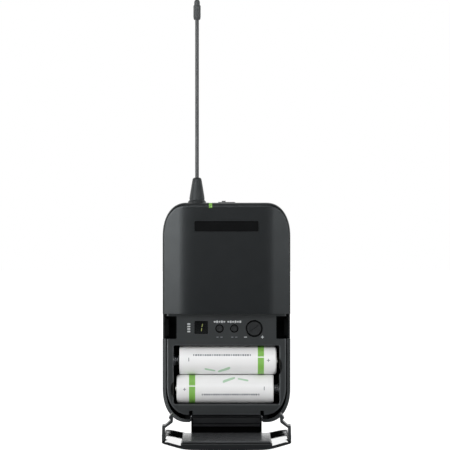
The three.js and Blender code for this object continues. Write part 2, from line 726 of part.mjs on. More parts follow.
// ---------------------------------------------------------------- top panel: light, switch, connector

const LED = { front: -16.2, back: -13.2, bottom: TOP_Z - 4, top: TOP_Z - 2.2 };

function addPowerLight() {
  const { half, drop, depth, reach } = LIGHT_PIPE;
  const x0 = LIGHT_X - half;
  const x1 = LIGHT_X + half;
  const corner = new THREE.Shape();
  corner.moveTo(FRONT_Y + depth, TOP_Z - drop);
  corner.lineTo(FRONT_Y, TOP_Z - drop);
  corner.quadraticCurveTo(FRONT_Y, TOP_Z, FRONT_Y + TOP_EDGE_RADIUS, TOP_Z);
  corner.lineTo(FRONT_Y + reach, TOP_Z);
  corner.lineTo(FRONT_Y + reach, TOP_Z - depth);
  corner.lineTo(FRONT_Y + depth + 1, TOP_Z - depth);
  add('power_light_pipe', prismX(corner, x0, x1), 'lightGreen');
  add('power_led', block(x0, x1, LED.front, LED.back, LED.bottom, LED.top), 'lightGreen');
}

const NUB = { half: 0.9, depth: 1, height: 1 };
const SLIDER_PLATE = { half: 2.4, depth: 2.2, thickness: 1 };
const SWITCH_BODY = { half: 4.5, depth: 2.4, bottom: 47.4 };

function addPowerSwitch() {
  const ceiling = TOP_Z - FRONT_WALL - GAP;
  const middle = SWITCH_X + SWITCH_TRAVEL / 2;
  const plateBottom = ceiling - SLIDER_PLATE.thickness;
  add(
    'power_slider',
    union(
      block(
        SWITCH_X - NUB.half, SWITCH_X + NUB.half, SWITCH_Y - NUB.depth, SWITCH_Y + NUB.depth,
        plateBottom, TOP_Z + NUB.height,
      ),
      block(
        SWITCH_X - SLIDER_PLATE.half, SWITCH_X + SLIDER_PLATE.half,
        SWITCH_Y - SLIDER_PLATE.depth, SWITCH_Y + SLIDER_PLATE.depth, plateBottom, ceiling,
      ),
    ),
    'button',
  );
  add(
    'power_switch_body',
    block(
      middle - SWITCH_BODY.half, middle + SWITCH_BODY.half,
      SWITCH_Y - SWITCH_BODY.depth, BOARD_Y - CONTACT_GAP, SWITCH_BODY.bottom, plateBottom - GAP,
    ),
    'tin',
  );
}

const SHELL_WALL = 0.7;
const CONNECTOR_WELL = 6;
const PIN_CIRCLE = 2.2;
const PIN_RADIUS = 0.5;
const PIN_SIDES = 10;

function addConnector() {
  const bottom = TOP_Z - CONNECTOR_DEPTH;
  const floor = TOP_Z - CONNECTOR_WELL;
  const bore = CONNECTOR_RADIUS - SHELL_WALL;
  add(
    'connector_shell',
    cut(
      rod('z', CONNECTOR_X, CONNECTOR_Y, bottom, TOP_Z - SEAM, CONNECTOR_RADIUS),
      rod('z', CONNECTOR_X, CONNECTOR_Y, bottom - 1, TOP_Z + 1, bore),
    ),
    'nickel',
  );
  const pins = [0, 1, 2, 3].map((index) => {
    const angle = Math.PI / 4 + (index * Math.PI) / 2;
    return [CONNECTOR_X + PIN_CIRCLE * Math.cos(angle), CONNECTOR_Y + PIN_CIRCLE * Math.sin(angle)];
  });
  const pinHoles = pins.map(
    ([x, y]) => rod('z', x, y, bottom - 1, TOP_Z, PIN_RADIUS + SEAT_GAP, PIN_SIDES),
  );
  add(
    'connector_insert',
    cut(rod('z', CONNECTOR_X, CONNECTOR_Y, bottom, floor, bore - SEAT_GAP), ...pinHoles),
    'blackRubber',
  );
  pins.forEach(([x, y], index) => {
    const pin = rodGeometry('z', x, y, bottom - 1, TOP_Z - 1, PIN_RADIUS, PIN_SIDES);
    add(`connector_pin_${index + 1}`, pin, 'gold');
  });
}

addPowerLight();
addPowerSwitch();
addConnector();

// ---------------------------------------------------------------- antenna

const FERRULE = { radius: 2.7, bottom: TOP_Z - 6, top: TOP_Z + 0.5 };
const WHIP_BORE_RADIUS = WHIP_RADIUS + SEAT_GAP;
const WHIP = { bottom: TOP_Z - 4.5, top: ANTENNA_TIP_Z + 3 };
// Radius and height pairs: above the boot's foot, below its top, above the tip's foot, below its top
const BOOT_FOOT = [[4.6, 0], [4.5, 0.5], [3.9, 1.3], [3.7, 2.6]];
const BOOT_NECK = [[2.2, 0.9], [1.7, 0.2], [1.3, 0]];
const TIP_FOOT = [[1.4, 0], [1.85, 1.2]];
const TIP_CROWN = [[1.85, 3.2], [1.4, 0.9], [0.8, 0]];

// A piece turned about the antenna, from pairs measured up from its bottom and down from its top.
function antennaPiece(bottom, top, foot, crown) {
  const profile = [
    [0, bottom],
    ...foot.map(([radius, rise]) => [radius, bottom + rise]),
    ...crown.map(([radius, drop]) => [radius, top - drop]),
    [0, top],
  ];
  return solid(turned(profile, ANTENNA_X, ANTENNA_Y));
}

function whipBore(bottom, top) {
  return rod('z', ANTENNA_X, ANTENNA_Y, bottom, top, WHIP_BORE_RADIUS, SMALL_ROUND);
}

function addAntenna() {
  const { radius, bottom, top } = FERRULE;
  const bootBottom = top + SEAT_GAP;
  const ferrule = rod('z', ANTENNA_X, ANTENNA_Y, bottom, top, radius);
  const boot = antennaPiece(bootBottom, ANTENNA_BOOT_TOP_Z, BOOT_FOOT, BOOT_NECK);
  const tip = antennaPiece(ANTENNA_TIP_Z, ANTENNA_END_Z, TIP_FOOT, TIP_CROWN);
  const whip = rodGeometry('z', ANTENNA_X, ANTENNA_Y, WHIP.bottom, WHIP.top, WHIP_RADIUS, SMALL_ROUND);
  add('antenna_ferrule', cut(ferrule, whipBore(WHIP.bottom - 0.5, top + 1)), 'nickel');
  add('antenna_boot', cut(boot, whipBore(0, FAR)), 'blackRubber');
  add('antenna_whip', whip, 'blackRubber');
  add('antenna_tip', cut(tip, whipBore(ANTENNA_TIP_Z - 1, WHIP.top + SEAM)), 'blackRubber');
}

addAntenna();

// ---------------------------------------------------------------- cells and their contacts

const SPRING = { turns: 2.5, big: 3.1, small: 1.9, wire: 0.35, steps: 44 };
const PLATE = { half: 4, tall: 4.5, thickness: 0.4 };
const CAN_INSET = 0.2; // the can's ends lie this far inside the sleeve's
const CELL_SIDES = 32;

// A cone spring along X, from baseX to tipX.
function coneSpring(baseX, tipX, z) {
  const points = [];
  for (let step = 0; step <= SPRING.steps; step += 1) {
    const share = step / SPRING.steps;
    const angle = share * SPRING.turns * 2 * Math.PI;
    const radius = THREE.MathUtils.lerp(SPRING.big, SPRING.small, share);
    points.push(new THREE.Vector3(
      THREE.MathUtils.lerp(baseX, tipX, share),
      CELL_Y + radius * Math.cos(angle),
      z + radius * Math.sin(angle),
    ));
  }
  const wire = new THREE.Shape();
  wire.absarc(0, 0, SPRING.wire, 0, 2 * Math.PI);
  return new THREE.ExtrudeGeometry(wire, {
    steps: SPRING.steps,
    curveSegments: 3,
    bevelEnabled: false,
    extrudePath: new THREE.CatmullRomCurve3(points),
  });
}

// side is +1 when the cell's positive end points to +X.
function addCell(name, z, side) {
  const positiveX = side * (CELL_LENGTH / 2 + CELL_SHIFT);
  const negativeX = side * (-CELL_LENGTH / 2 + CELL_SHIFT);
  const low = Math.min(positiveX, negativeX);
  const high = Math.max(positiveX, negativeX);
  const canRadius = CELL_RADIUS - CELL_SLEEVE;
  add(
    `${name}_cell_can`,
    rodGeometry(
      'x', CELL_Y, z, low + CAN_INSET, high - CAN_INSET, canRadius - CONTACT_GAP, CELL_SIDES,
    ),
    'springSteel',
  );
  add(
    `${name}_cell_sleeve`,
    cut(
      rod('x', CELL_Y, z, low, high, CELL_RADIUS, CELL_SIDES),
      rod('x', CELL_Y, z, low - 1, high + 1, canRadius, CELL_SIDES),
    ),
    'cellSleeve',
  );
  const capStart = positiveX - side * (CAN_INSET - SEAT_GAP);
  const capEnd = positiveX + side * CELL_CAP_HEIGHT;
  add(
    `${name}_cell_cap`,
    rodGeometry(
      'x', CELL_Y, z, Math.min(capStart, capEnd), Math.max(capStart, capEnd), CELL_CAP_RADIUS, SMALL_ROUND,
    ),
    'nickel',
  );
  const wallX = side * (BAY_WALL_HALF - SEAT_GAP);
  const plateX = wallX - side * PLATE.thickness;
  add(
    `${name}_plate_contact`,
    block(
      Math.min(wallX, plateX), Math.max(wallX, plateX),
      CELL_Y - PLATE.half, CELL_Y + PLATE.half, z - PLATE.tall, z + PLATE.tall,
    ),
    'nickel',
  );
  const springBase = -side * (BAY_WALL_HALF - SEAT_GAP - SPRING.wire);
  const springTip = negativeX - side * (SPRING.wire + GAP);
  add(`${name}_spring_contact`, coneSpring(springBase, springTip, z), 'springSteel');
}

addCell('upper', UPPER_CELL_Z, 1);
addCell('lower', LOWER_CELL_Z, -1);

// ---------------------------------------------------------------- battery door

// The door pieces are drawn shut, in the pack's own coordinates, then turned open about the hinge.
const door = new THREE.Group();
door.position.set(0, HINGE_Y, HINGE_Z);
door.rotation.x = DOOR_OPEN;
const doorShut = new THREE.Group();
doorShut.position.set(0, -HINGE_Y, -HINGE_Z);
door.add(doorShut);
transmitter.add(door);

const END_WALL = { half: 22.5, y: -17.9, depth: 1.3 };
const LINER_BOTTOM_Z = -47;
const TONGUE_THICKNESS = 0.65;
const LATCH_ROOM = { inner: HALF_WIDTH - 3, front: LATCH_PIVOT_Y - 1.05 };
const STRAP_ROOT_HALF = STRAP_HALF - 0.8;

function doorPanel() {
  const outer = cut(
    prismY(outline(HALF_WIDTH, TOP_Z, BOTTOM_Z), FRONT_Y - 1, 0)
      .intersect(prismZ(frontSection(0, 0), BOTTOM_Z, DOOR_TOP_Z)),
    behindFrontFace(DOOR_WALL + DOOR_SKIRT),
  );
  const hollow = prismY(insetOutline(DOOR_WALL, DOOR_WALL), FRONT_Y, 0)
    .intersect(prismZ(frontSection(DOOR_WALL, 0), BOTTOM_Z, TOP_Z));
  const latchRoom = pairOfBlocks(
    LATCH_ROOM.inner, FAR, LATCH_ROOM.front, 0, LATCH_BOTTOM_Z - GAP, 0,
  );
  const endWall = block(
    -END_WALL.half, END_WALL.half, FRONT_Y + 1, END_WALL.y, DOOR_TOP_Z - END_WALL.depth, DOOR_TOP_Z,
  );
  const strap = block(
    -STRAP_HALF, STRAP_HALF, FRONT_Y + DOOR_WALL, HINGE_Y,
    BOTTOM_Z + CONTACT_GAP, BOTTOM_Z + STRAP_WALL,
  );
  const root = block(
    -STRAP_ROOT_HALF, STRAP_ROOT_HALF, STRAP_ROOT_Y, HINGE_Y,
    BOTTOM_Z + STRAP_WALL / 2, BOTTOM_Z + STRAP_ROOT_WALL,
  );
  const knuckle = rod('x', HINGE_Y, HINGE_Z, -STRAP_HALF, STRAP_HALF, HINGE_RADIUS);
  const pinBore = rod(
    'x', HINGE_Y, HINGE_Z, -STRAP_HALF - 1, STRAP_HALF + 1, HINGE_BORE_RADIUS, SMALL_ROUND,
  );
  const body = union(cut(outer, hollow, latchRoom), endWall, strap, root, knuckle);
  return cut(body, pinBore);
}

function doorLiner() {
  const tongueRoot = DOOR_TOP_Z - END_WALL.depth - GAP;
  const slab = block(
    -LINER_HALF, LINER_HALF, FRONT_Y + DOOR_WALL + GAP, LINER_Y, LINER_BOTTOM_Z, tongueRoot,
  );
  const tongue = block(
    -LINER_HALF, LINER_HALF, LINER_Y - TONGUE_THICKNESS, LINER_Y, tongueRoot - 1, DOOR_TOP_Z - SEAM,
  );
  return union(slab, tongue);
}

// One latch, drawn for the left side: an outer pad, an arm bent inwards and an arrow-shaped hook.
const LATCH_OUTLINE = [
  [-31.85, -16.4], [-30.4, -16.4], [-30.3, -9.6], [-28.2, -8], [-26.5, -7],
  [-26.3, -3.6], [-27.1, -3], [-28.6, -5.2], [-27.6, -5.8], [-27.6, -6.3], [-30.2, -8.8], [-31.7, -8.9],
];

function latch(side) {
  const left = prismZ(polygon(LATCH_OUTLINE), LATCH_BOTTOM_Z, LATCH_TOP_Z);
  return side < 0 ? left : mirrored(left);
}

add('door_panel', doorPanel(), 'door', doorShut);
add('door_liner', doorLiner(), 'door', doorShut);
add('latch_left', latch(-1), 'door', doorShut);
add('latch_right', latch(1), 'door', doorShut);
add(
  'hinge_rod',
  rodGeometry('x', HINGE_Y, HINGE_Z, SEAM - EAR.outer, EAR.outer - SEAM, HINGE_PIN_RADIUS, SMALL_ROUND),
  'springSteel',
  doorShut,
);

// ---------------------------------------------------------------- belt clip

// A wire bent at each corner of a run of places, with straight legs between the bends.
function bentWire(places, bendRadius) {
  const path = new THREE.CurvePath();
  const corners = places.map(([x, y, z]) => new THREE.Vector3(x, y, z));
  let from = corners[0];
  const towards = (corner, next) => {
    const length = corner.distanceTo(next);
    return corner.clone().lerp(next, Math.min(bendRadius, length / 2) / length);
  };
  for (let index = 1; index < corners.length - 1; index += 1) {
    const corner = corners[index];
    const bendStart = towards(corner, corners[index - 1]);
    const bendEnd = towards(corner, corners[index + 1]);
    path.add(new THREE.LineCurve3(from, bendStart));
    path.add(new THREE.QuadraticBezierCurve3(bendStart, corner, bendEnd));
    from = bendEnd;
  }
  path.add(new THREE.LineCurve3(from, corners[corners.length - 1]));
  return path;
}

const CLIP_LEG_X = CLIP_HALF - 0.6;
const CLIP_BEND_RADIUS = 2.6;
const CLIP_STEPS = 90;
// Right half of the wire, from its pivot end in the boss to the turned-out lip at the bottom
const CLIP_PATH = [
  [CLIP_BOSS.outer - 0.4, CLIP_PIVOT_Y, CLIP_PIVOT_Z],
  [CLIP_LEG_X, CLIP_PIVOT_Y, CLIP_PIVOT_Z],
  [CLIP_LEG_X, CLIP_STAND_OFF, CLIP_PIVOT_Z - 5],
  [CLIP_LEG_X, CLIP_STAND_OFF - 0.3, CLIP_END_Z + 20],
  [CLIP_LEG_X - 1, CLIP_PINCH_Y, CLIP_END_Z + 6],
  [CLIP_LEG_X - 1.8, CLIP_PINCH_Y + 2.6, CLIP_END_Z],
];

function beltClip() {
  const left = CLIP_PATH.map(([x, y, z]) => [-x, y, z]).reverse();
  const wire = new THREE.Shape();
  wire.absarc(0, 0, CLIP_RADIUS, 0, 2 * Math.PI);
  return new THREE.ExtrudeGeometry(wire, {
    steps: CLIP_STEPS,
    curveSegments: 4,
    bevelEnabled: false,
    extrudePath: bentWire([...CLIP_PATH, ...left], CLIP_BEND_RADIUS),
  });
}

add('belt_clip', beltClip(), 'springSteel');

// ---------------------------------------------------------------- housing screws

const CROSS = { reach: 1.1, half: 0.25, depth: 0.8 };

function screw(x, z) {
  const { front, back } = SCREW_HEAD;
  const { reach, half, depth } = CROSS;
  const head = rod('y', x, z, front, back, SCREW_HEAD_RADIUS, MEDIUM_ROUND);
  const shank = rod('y', x, z, SCREW_END_Y, front + JOINED, SCREW_RADIUS, SMALL_ROUND);
  const crossArms = [
    block(x - reach, x + reach, back - depth, 0, z - half, z + half),
    block(x - half, x + half, back - depth, 0, z - reach, z + reach),
  ];
  return cut(union(head, shank), ...crossArms);
}

SCREW_PLACES.forEach(([place, x, z]) => add(`screw_${place}`, screw(x, z), 'springSteel'));

export default transmitter;
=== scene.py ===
"""Looks for the wireless bodypack transmitter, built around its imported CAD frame.

Lengths in this script are millimetres and become metres when a mesh is made. The frame is the CAD one:
+Z up along the antenna, +X to the right seen from the front, front towards -Y, back face at Y = 0.
Pieces of the battery door are drawn shut and then swung open about the hinge, as the frame holds them.
"""
import math

import bmesh
import bpy
from mathutils import Matrix, Vector


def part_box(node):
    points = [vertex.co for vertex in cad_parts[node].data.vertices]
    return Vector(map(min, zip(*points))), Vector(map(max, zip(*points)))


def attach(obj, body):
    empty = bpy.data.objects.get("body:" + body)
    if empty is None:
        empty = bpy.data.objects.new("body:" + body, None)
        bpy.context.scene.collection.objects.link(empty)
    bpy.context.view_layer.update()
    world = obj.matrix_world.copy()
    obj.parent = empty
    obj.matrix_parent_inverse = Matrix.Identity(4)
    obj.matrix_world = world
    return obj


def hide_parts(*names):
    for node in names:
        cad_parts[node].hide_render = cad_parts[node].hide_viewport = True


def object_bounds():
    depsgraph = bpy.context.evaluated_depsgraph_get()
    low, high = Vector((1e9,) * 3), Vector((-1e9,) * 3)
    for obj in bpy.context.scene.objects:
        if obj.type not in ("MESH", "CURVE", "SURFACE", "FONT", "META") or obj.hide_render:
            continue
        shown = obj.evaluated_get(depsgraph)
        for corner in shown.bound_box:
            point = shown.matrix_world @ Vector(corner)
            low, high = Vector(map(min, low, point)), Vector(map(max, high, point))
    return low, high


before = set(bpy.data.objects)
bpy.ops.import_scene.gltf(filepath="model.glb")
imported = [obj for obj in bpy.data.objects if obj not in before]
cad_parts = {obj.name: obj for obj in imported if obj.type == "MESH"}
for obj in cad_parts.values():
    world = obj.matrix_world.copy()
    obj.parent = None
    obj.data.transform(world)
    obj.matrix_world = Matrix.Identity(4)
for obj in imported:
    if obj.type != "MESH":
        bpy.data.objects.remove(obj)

CAD_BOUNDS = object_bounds()
MM = 0.001
FAR = 90.0  # reach of cutting blocks past the pack


def cad_box(node):
    """A CAD node's box in millimetres: x0, x1, y0, y1, z0, z1."""
    low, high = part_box(node)
    return [value / MM for pair in zip(low, high) for value in pair]


def cad_middle(node):
    box = cad_box(node)
    return tuple((low + high) / 2 for low, high in zip(box[::2], box[1::2]))


def cad_height(node):
    return cad_box(node)[4:]


# --- sizes, in millimetres

# Pack envelope
HALF_WIDTH = cad_box("rear_housing")[1]
TOP_Z = cad_box("front_housing")[5]
BOTTOM_Z = cad_box("rear_housing")[4]
FRONT_Y = cad_box("front_housing")[2]
CORNER_WIDTH = 12.0
CORNER_HEIGHT = 17.0
CORNER_POWER = 2.2
CORNER_STEPS = 26
FACE_COLUMNS = 18  # across the straight part of the top edge

# Front face
FLAT_HALF = 20.6
SLOPE = math.atan(3.21 / (HALF_WIDTH - FLAT_HALF))  # the shoulder lies 3.21 mm behind the flat
CREASE_SOFTNESS = 3.6
CROWN = 0.3
SHOULDER = 1.2  # edge rounding at the sides
TOP_SHOULDER = 2.6  # and at the top and bottom
BACK_ROUNDING = 2.2
ROUND_STEPS = 8

# Shells
FRONT_WALL = 1.8
BACK_WALL = 1.1
SIDE_WALL = 1.6
END_WALL = 1.5
PARTING_Y = -8.5
SEAM = 0.2
HOUSING_END_Z = cad_box("front_housing")[4]
RIM_INSET = 3.8

# Screws and the seats that pieces are set into
BOSS_RADIUS = 2.6
SCREW_BORE = 1.25
SCREW_FLOOR_Y = -12.5  # the deepest point of a screw's bore
SEAT_GAP = 0.1

# Chassis
PANEL_Y = cad_box("chassis_frame")[2]
PANEL_BACK_Y = PANEL_Y + 1.5
CHASSIS_HALF = cad_box("chassis_frame")[1]
CHASSIS_TOP_Z = cad_box("chassis_frame")[5]
CHASSIS_BOTTOM_Z = cad_box("chassis_frame")[4]
BAY = {"half": 26.4, "wall": 27.0, "top": -16.7, "bottom": -45.9}
POCKET = {"inner": 25.0, "top": -1.9, "bottom": -13.3, "rim_y": -6.6, "recess": 31.2}
POCKET_WALL = {"thickness": 0.8, "back": -8.6, "web": 0.5}
CATCH = {"inner": 28.95, "outer": 30.8, "back": -5.4, "bottom": -12.0, "top": -3.4}
FRAME_EDGE = {"grow": 0.3, "corner": (11.1, 14.5), "width": 1.0, "depth": 0.35, "back": -10.6}
FRAME_INSIDE = {"wall": 1.2, "corner": (10.0, 13.5)}

# Door and hinge
HINGE_X0, HINGE_X1 = cad_box("hinge_rod")[:2]
HINGE_Y, HINGE_Z = cad_middle("hinge_rod")[1:]
HINGE_RADIUS = 2.4
PIN_HOLE = 1.35
DOOR_OPEN = math.radians(93)
DOOR_TOP_Z = -1.0
DOOR_WALL = 1.5
DOOR_SKIRT = 1.7
STRAP_HALF = 17.75
STRAP_WALL = 1.7
STRAP_GAP_HALF = 18.2
STRAP_ROOT_Y = -14.0
EAR = {"inner": 18.2, "outer": 20.6, "front": -12.2, "top": -48.6}
LATCH_ROOM = {"inner": HALF_WIDTH - 3, "front": -16.85}
END_WALL_EDGE_Y = -17.45

# Belt clip, where its wire turns in the bosses
CLIP_X = cad_box("belt_clip")[1]
CLIP_Y, CLIP_Z = 3.2, 31.0

# --- mesh helpers


def make(vertices, faces, name="shape"):
    mesh = bpy.data.meshes.new(name)
    mesh.from_pydata([Vector(vertex) * MM for vertex in vertices], [], faces)
    work = bmesh.new()
    work.from_mesh(mesh)
    bmesh.ops.remove_doubles(work, verts=work.verts, dist=1e-7)
    bmesh.ops.recalc_face_normals(work, faces=work.faces)
    work.to_mesh(mesh)
    work.free()
    obj = bpy.data.objects.new(name, mesh)
    bpy.context.scene.collection.objects.link(obj)
    return obj


def place(axis, u, v, along):
    """A point from its two section coordinates and its coordinate along the axis."""
    return {"x": (along, u, v), "y": (u, along, v), "z": (u, v, along)}[axis]


def side_faces(ring_count, count):
    """Quads that join each ring of count vertices to the next."""
    faces = []
    for low in range(0, (ring_count - 1) * count, count):
        high = low + count
        faces += [(low + i, low + (i + 1) % count, high + (i + 1) % count, high + i) for i in range(count)]
    return faces


def loft(rings):
    """A solid through rings of equally many vertices, closed by a face at each end."""
    count = len(rings[0])
    vertices = [vertex for ring in rings for vertex in ring]
    ends = [tuple(range(count)), tuple(range(len(vertices) - count, len(vertices)))]
    return make(vertices, ends + side_faces(len(rings), count))


def prism(axis, points, low, high):
    return loft([[place(axis, u, v, along) for u, v in points] for along in (low, high)])


def inset_points(points, distance):
    """A smooth convex outline moved inwards by a distance."""
    moved = []
    count = len(points)
    for index, point in enumerate(points):
        before, after = Vector(points[index - 1]), Vector(points[(index + 1) % count])
        along = after - before
        inward = Vector((-along.y, along.x)).normalized()
        moved.append(tuple(Vector(point) + inward * distance))
    area = sum(a[0] * b[1] - b[0] * a[1] for a, b in zip(points, points[1:] + points[:1]))
    if area < 0:
        return inset_points(points[::-1], distance)[::-1]
    return moved


def quarter_round(steps):
    """Shares of a rounding's inset and depth, from the end face to where the side runs straight."""
    angles = [step / steps * math.pi / 2 for step in range(steps + 1)]
    return [(1 - math.sin(angle), 1 - math.cos(angle)) for angle in angles]


def stack(points, rings):
    """A solid along Y through an outline; each ring is how far it is moved in, and its Y."""
    sections = [(inset_points(points, inset) if abs(inset) > 1e-6 else points, y) for inset, y in rings]
    return loft([[(x, y, z) for x, z in section] for section, y in sections])


def flared_mouth(points, face_y, radius, steps=5):
    """A cutter that rounds the front edge of an opening by widening towards the face."""
    flare = [(-radius * grow, face_y + radius * sink) for grow, sink in quarter_round(steps)]
    return stack(points, [(-radius, face_y - 1), *flare, (0.0, face_y + radius + 0.3)])


def block(x0, x1, y0, y1, z0, z1):
    return prism("y", [(x0, z0), (x1, z0), (x1, z1), (x0, z1)], y0, y1)


def both_sides(x0, x1, *rest):
    """The same block on the right and on the left."""
    return [block(x0, x1, *rest), block(-x1, -x0, *rest)]


def turned(axis, u, v, profile, steps=64):
    """A turned solid. The profile's (radius, along) pairs end on the axis, or close on themselves."""
    vertices, rings = [], []
    for radius, along in profile:
        start = len(vertices)
        if radius == 0:
            vertices.append(place(axis, u, v, along))
            rings.append([start] * steps)
            continue
        for step in range(steps):
            angle = step / steps * math.tau
            vertices.append(place(axis, u + radius * math.cos(angle), v + radius * math.sin(angle), along))
        rings.append(list(range(start, start + steps)))
    if profile[0][0] > 0:
        rings.append(rings[0])
    faces = []
    for lower, upper in zip(rings, rings[1:]):
        for step in range(steps):
            after = (step + 1) % steps
            face = dict.fromkeys((lower[step], lower[after], upper[after], upper[step]))
            faces.append(tuple(face))
    return make(vertices, faces)


def rod(axis, u, v, low, high, radius, steps=48):
    return turned(axis, u, v, [(0, low), (radius, low), (radius, high), (0, high)], steps)


def sweep(path, radius, sides=16):
    """A round wire along a path of points, with domed ends."""
    points = [Vector(point) for point in path]
    last = len(points) - 1
    normal = None
    sections = []
    for index, point in enumerate(points):
        tangent = (points[min(index + 1, last)] - points[max(index - 1, 0)]).normalized()
        normal = normal or tangent.orthogonal().normalized()
        normal = (normal - tangent * normal.dot(tangent)).normalized()
        sections.append((point, normal, tangent, radius))
    for place_at, way in ((0, -1), (len(sections) + 1, 1)):
        point, normal, tangent, _ = sections[min(place_at, len(sections) - 1)]
        sections.insert(place_at, (point + tangent * radius * 0.4 * way, normal, tangent, radius * 0.6))
    angles = [step / sides * math.tau for step in range(sides)]
    turns = [(math.cos(angle), math.sin(angle)) for angle in angles]
    rings = []
    for centre, side, tangent, size in sections:
        other = tangent.cross(side)
        rings.append([centre + (side * cos + other * sin) * size for cos, sin in turns])
    return loft(rings)


def settle(obj):
    """Makes the result of an object's modifiers its own mesh."""
    bpy.context.view_layer.update()
    evaluated = obj.evaluated_get(bpy.context.evaluated_depsgraph_get())
    mesh = bpy.data.meshes.new_from_object(evaluated)
    obj.modifiers.clear()
    old = obj.data
    obj.data = mesh
    bpy.data.meshes.remove(old)
    return obj


def combine(base, tools, operation):
    if not tools:
        return base
    for tool in tools:
        modifier = base.modifiers.new("combine", "BOOLEAN")
        modifier.operation = operation
        modifier.solver = "MANIFOLD"
        modifier.object = tool
    settle(base)
    for tool in tools:
        mesh = tool.data
        bpy.data.objects.remove(tool)
        bpy.data.meshes.remove(mesh)
    return base


def carve(base, *tools):
    return combine(base, tools, "DIFFERENCE")


def join(base, *tools):
    return combine(base, tools, "UNION")


def keep(base, *tools):
    return combine(base, tools, "INTERSECT")


def tidy_mesh(obj):
    """Removes the slivers that cutting leaves, so that edges can be softened."""
    work = bmesh.new()
    work.from_mesh(obj.data)
    bmesh.ops.remove_doubles(work, verts=work.verts, dist=0.02 * MM)
    bmesh.ops.dissolve_degenerate(work, edges=work.edges, dist=0.01 * MM)
    bmesh.ops.dissolve_limit(
        work, angle_limit=math.radians(0.3), verts=work.verts, edges=work.edges, delimit={"MATERIAL"},
    )
    work.to_mesh(obj.data)
    work.free()


def soften(obj, width=0.2, angle=38, segments=2):
    """Rounds the sharp edges by a small radius and shades the rest smooth."""
    if width:
        tidy_mesh(obj)
        modifier = obj.modifiers.new("soften", "BEVEL")
        modifier.width = width * MM
        modifier.segments = segments
        modifier.limit_method = "ANGLE"
        modifier.angle_limit = math.radians(angle)
        modifier.use_clamp_overlap = True
        settle(obj)
    obj.data.shade_smooth()
    obj.data.set_sharp_from_angle(angle=math.radians(40))
    weighted = obj.modifiers.new("weighted", "WEIGHTED_NORMAL")
    weighted.keep_sharp = True
    return obj


def swing_open(obj):
    """Turns a door piece from shut to the open place it has in the frame."""
    pivot = Vector((0, HINGE_Y, HINGE_Z)) * MM
    turn = Matrix.Translation(pivot) @ Matrix.Rotation(DOOR_OPEN, 4, "X") @ Matrix.Translation(-pivot)
    obj.data.transform(turn)
    return obj


def finish_piece(obj, name, look, slot, *replaced, body="pack", edge=0.0):
    """Softens, names and dresses a piece and ties it to the frame; edge None skips the softening."""
    if edge is not None:
        soften(obj, edge)
    obj.name = name
    obj.data.name = name
    if look:
        obj.data.materials.clear()
        obj.data.materials.append(LOOKS[look])
    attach(obj, body)
    if replaced:
        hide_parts(*replaced)


# --- outlines


def rounded_rectangle(x0, x1, z0, z1, radius, steps=6):
    points = []
    corners = [(x1, z1, 0), (x0, z1, 1), (x0, z0, 2), (x1, z0, 3)]
    for x, z, quarter in corners:
        centre_x = x - math.copysign(radius, x - (x0 + x1) / 2)
        centre_z = z - math.copysign(radius, z - (z0 + z1) / 2)
        for step in range(steps + 1):
            angle = (quarter + step / steps) * math.pi / 2
            points.append((centre_x + radius * math.cos(angle), centre_z + radius * math.sin(angle)))
    return points


def bend(before, corner, after, radius, steps, most):
    """Points of a curve across a corner; it takes at most the given share of each leg."""
    start = corner.lerp(before, min(radius / (before - corner).length, most))
    end = corner.lerp(after, min(radius / (after - corner).length, most))
    shares = [step / steps for step in range(steps + 1)]
    return [start.lerp(corner, share).lerp(corner.lerp(end, share), share) for share in shares]


def rounded_polygon(points, radius, steps=4):
    """The polygon with each corner turned into a short curve."""
    corners = [Vector(point) for point in points]
    smooth = []
    for before, corner, after in zip(corners[-1:] + corners, corners, corners[1:] + corners[:1]):
        smooth += [tuple(point) for point in bend(before, corner, after, radius, steps, 0.45)]
    return smooth


def corner_arc(half, top, width, height):
    """The top right corner as (x, z, nx, nz): points on it and their inward directions."""
    points = []
    for step in range(CORNER_STEPS + 1):
        angle = step / CORNER_STEPS * math.pi / 2
        u = max(math.cos(angle), 0) ** (2 / CORNER_POWER)
        v = math.sin(angle) ** (2 / CORNER_POWER)
        normal = Vector((-(u ** (CORNER_POWER - 1)) / width, -(v ** (CORNER_POWER - 1)) / height))
        normal.normalize()
        points.append((half - width + width * u, top - height + height * v, normal.x, normal.y))
    return points


def perimeter():
    """The pack's front view outline as (x, z, nx, nz); point i faces point -1 - i across z = 0."""
    arc = corner_arc(HALF_WIDTH, TOP_Z, CORNER_WIDTH, CORNER_HEIGHT)
    reach = HALF_WIDTH - CORNER_WIDTH
    across = [reach - 2 * reach * column / FACE_COLUMNS for column in range(1, FACE_COLUMNS)]
    upper = arc + [(x, TOP_Z, 0.0, -1.0) for x in across]
    upper += [(-x, z, -nx, nz) for x, z, nx, nz in reversed(arc)]
    lower = [(x, -z, nx, -nz) for x, z, nx, nz in reversed(upper)]
    return upper + lower


def outline(half, top, bottom, width, height):
    """A plain outline with the pack's kind of corners, as (x, z) points."""
    arc = [(x, z) for x, z, _, _ in corner_arc(half, top, width, height)]
    right = [(x, top + bottom - z) for x, z in reversed(arc)] + arc
    return right + [(-x, z) for x, z in reversed(right)]


def front_y(x):
    """Y of the front face: a barely crowned middle with a soft crease to the slope at each side."""
    reach = abs(x)
    rise = math.tan(SLOPE)
    y = FRONT_Y + CROWN * min(reach / FLAT_HALF, 1) ** 2
    into_crease = reach - FLAT_HALF + CREASE_SOFTNESS
    if into_crease >= 2 * CREASE_SOFTNESS:
        return y + rise * (reach - FLAT_HALF)
    return y + rise * max(into_crease, 0) ** 2 / (4 * CREASE_SOFTNESS)


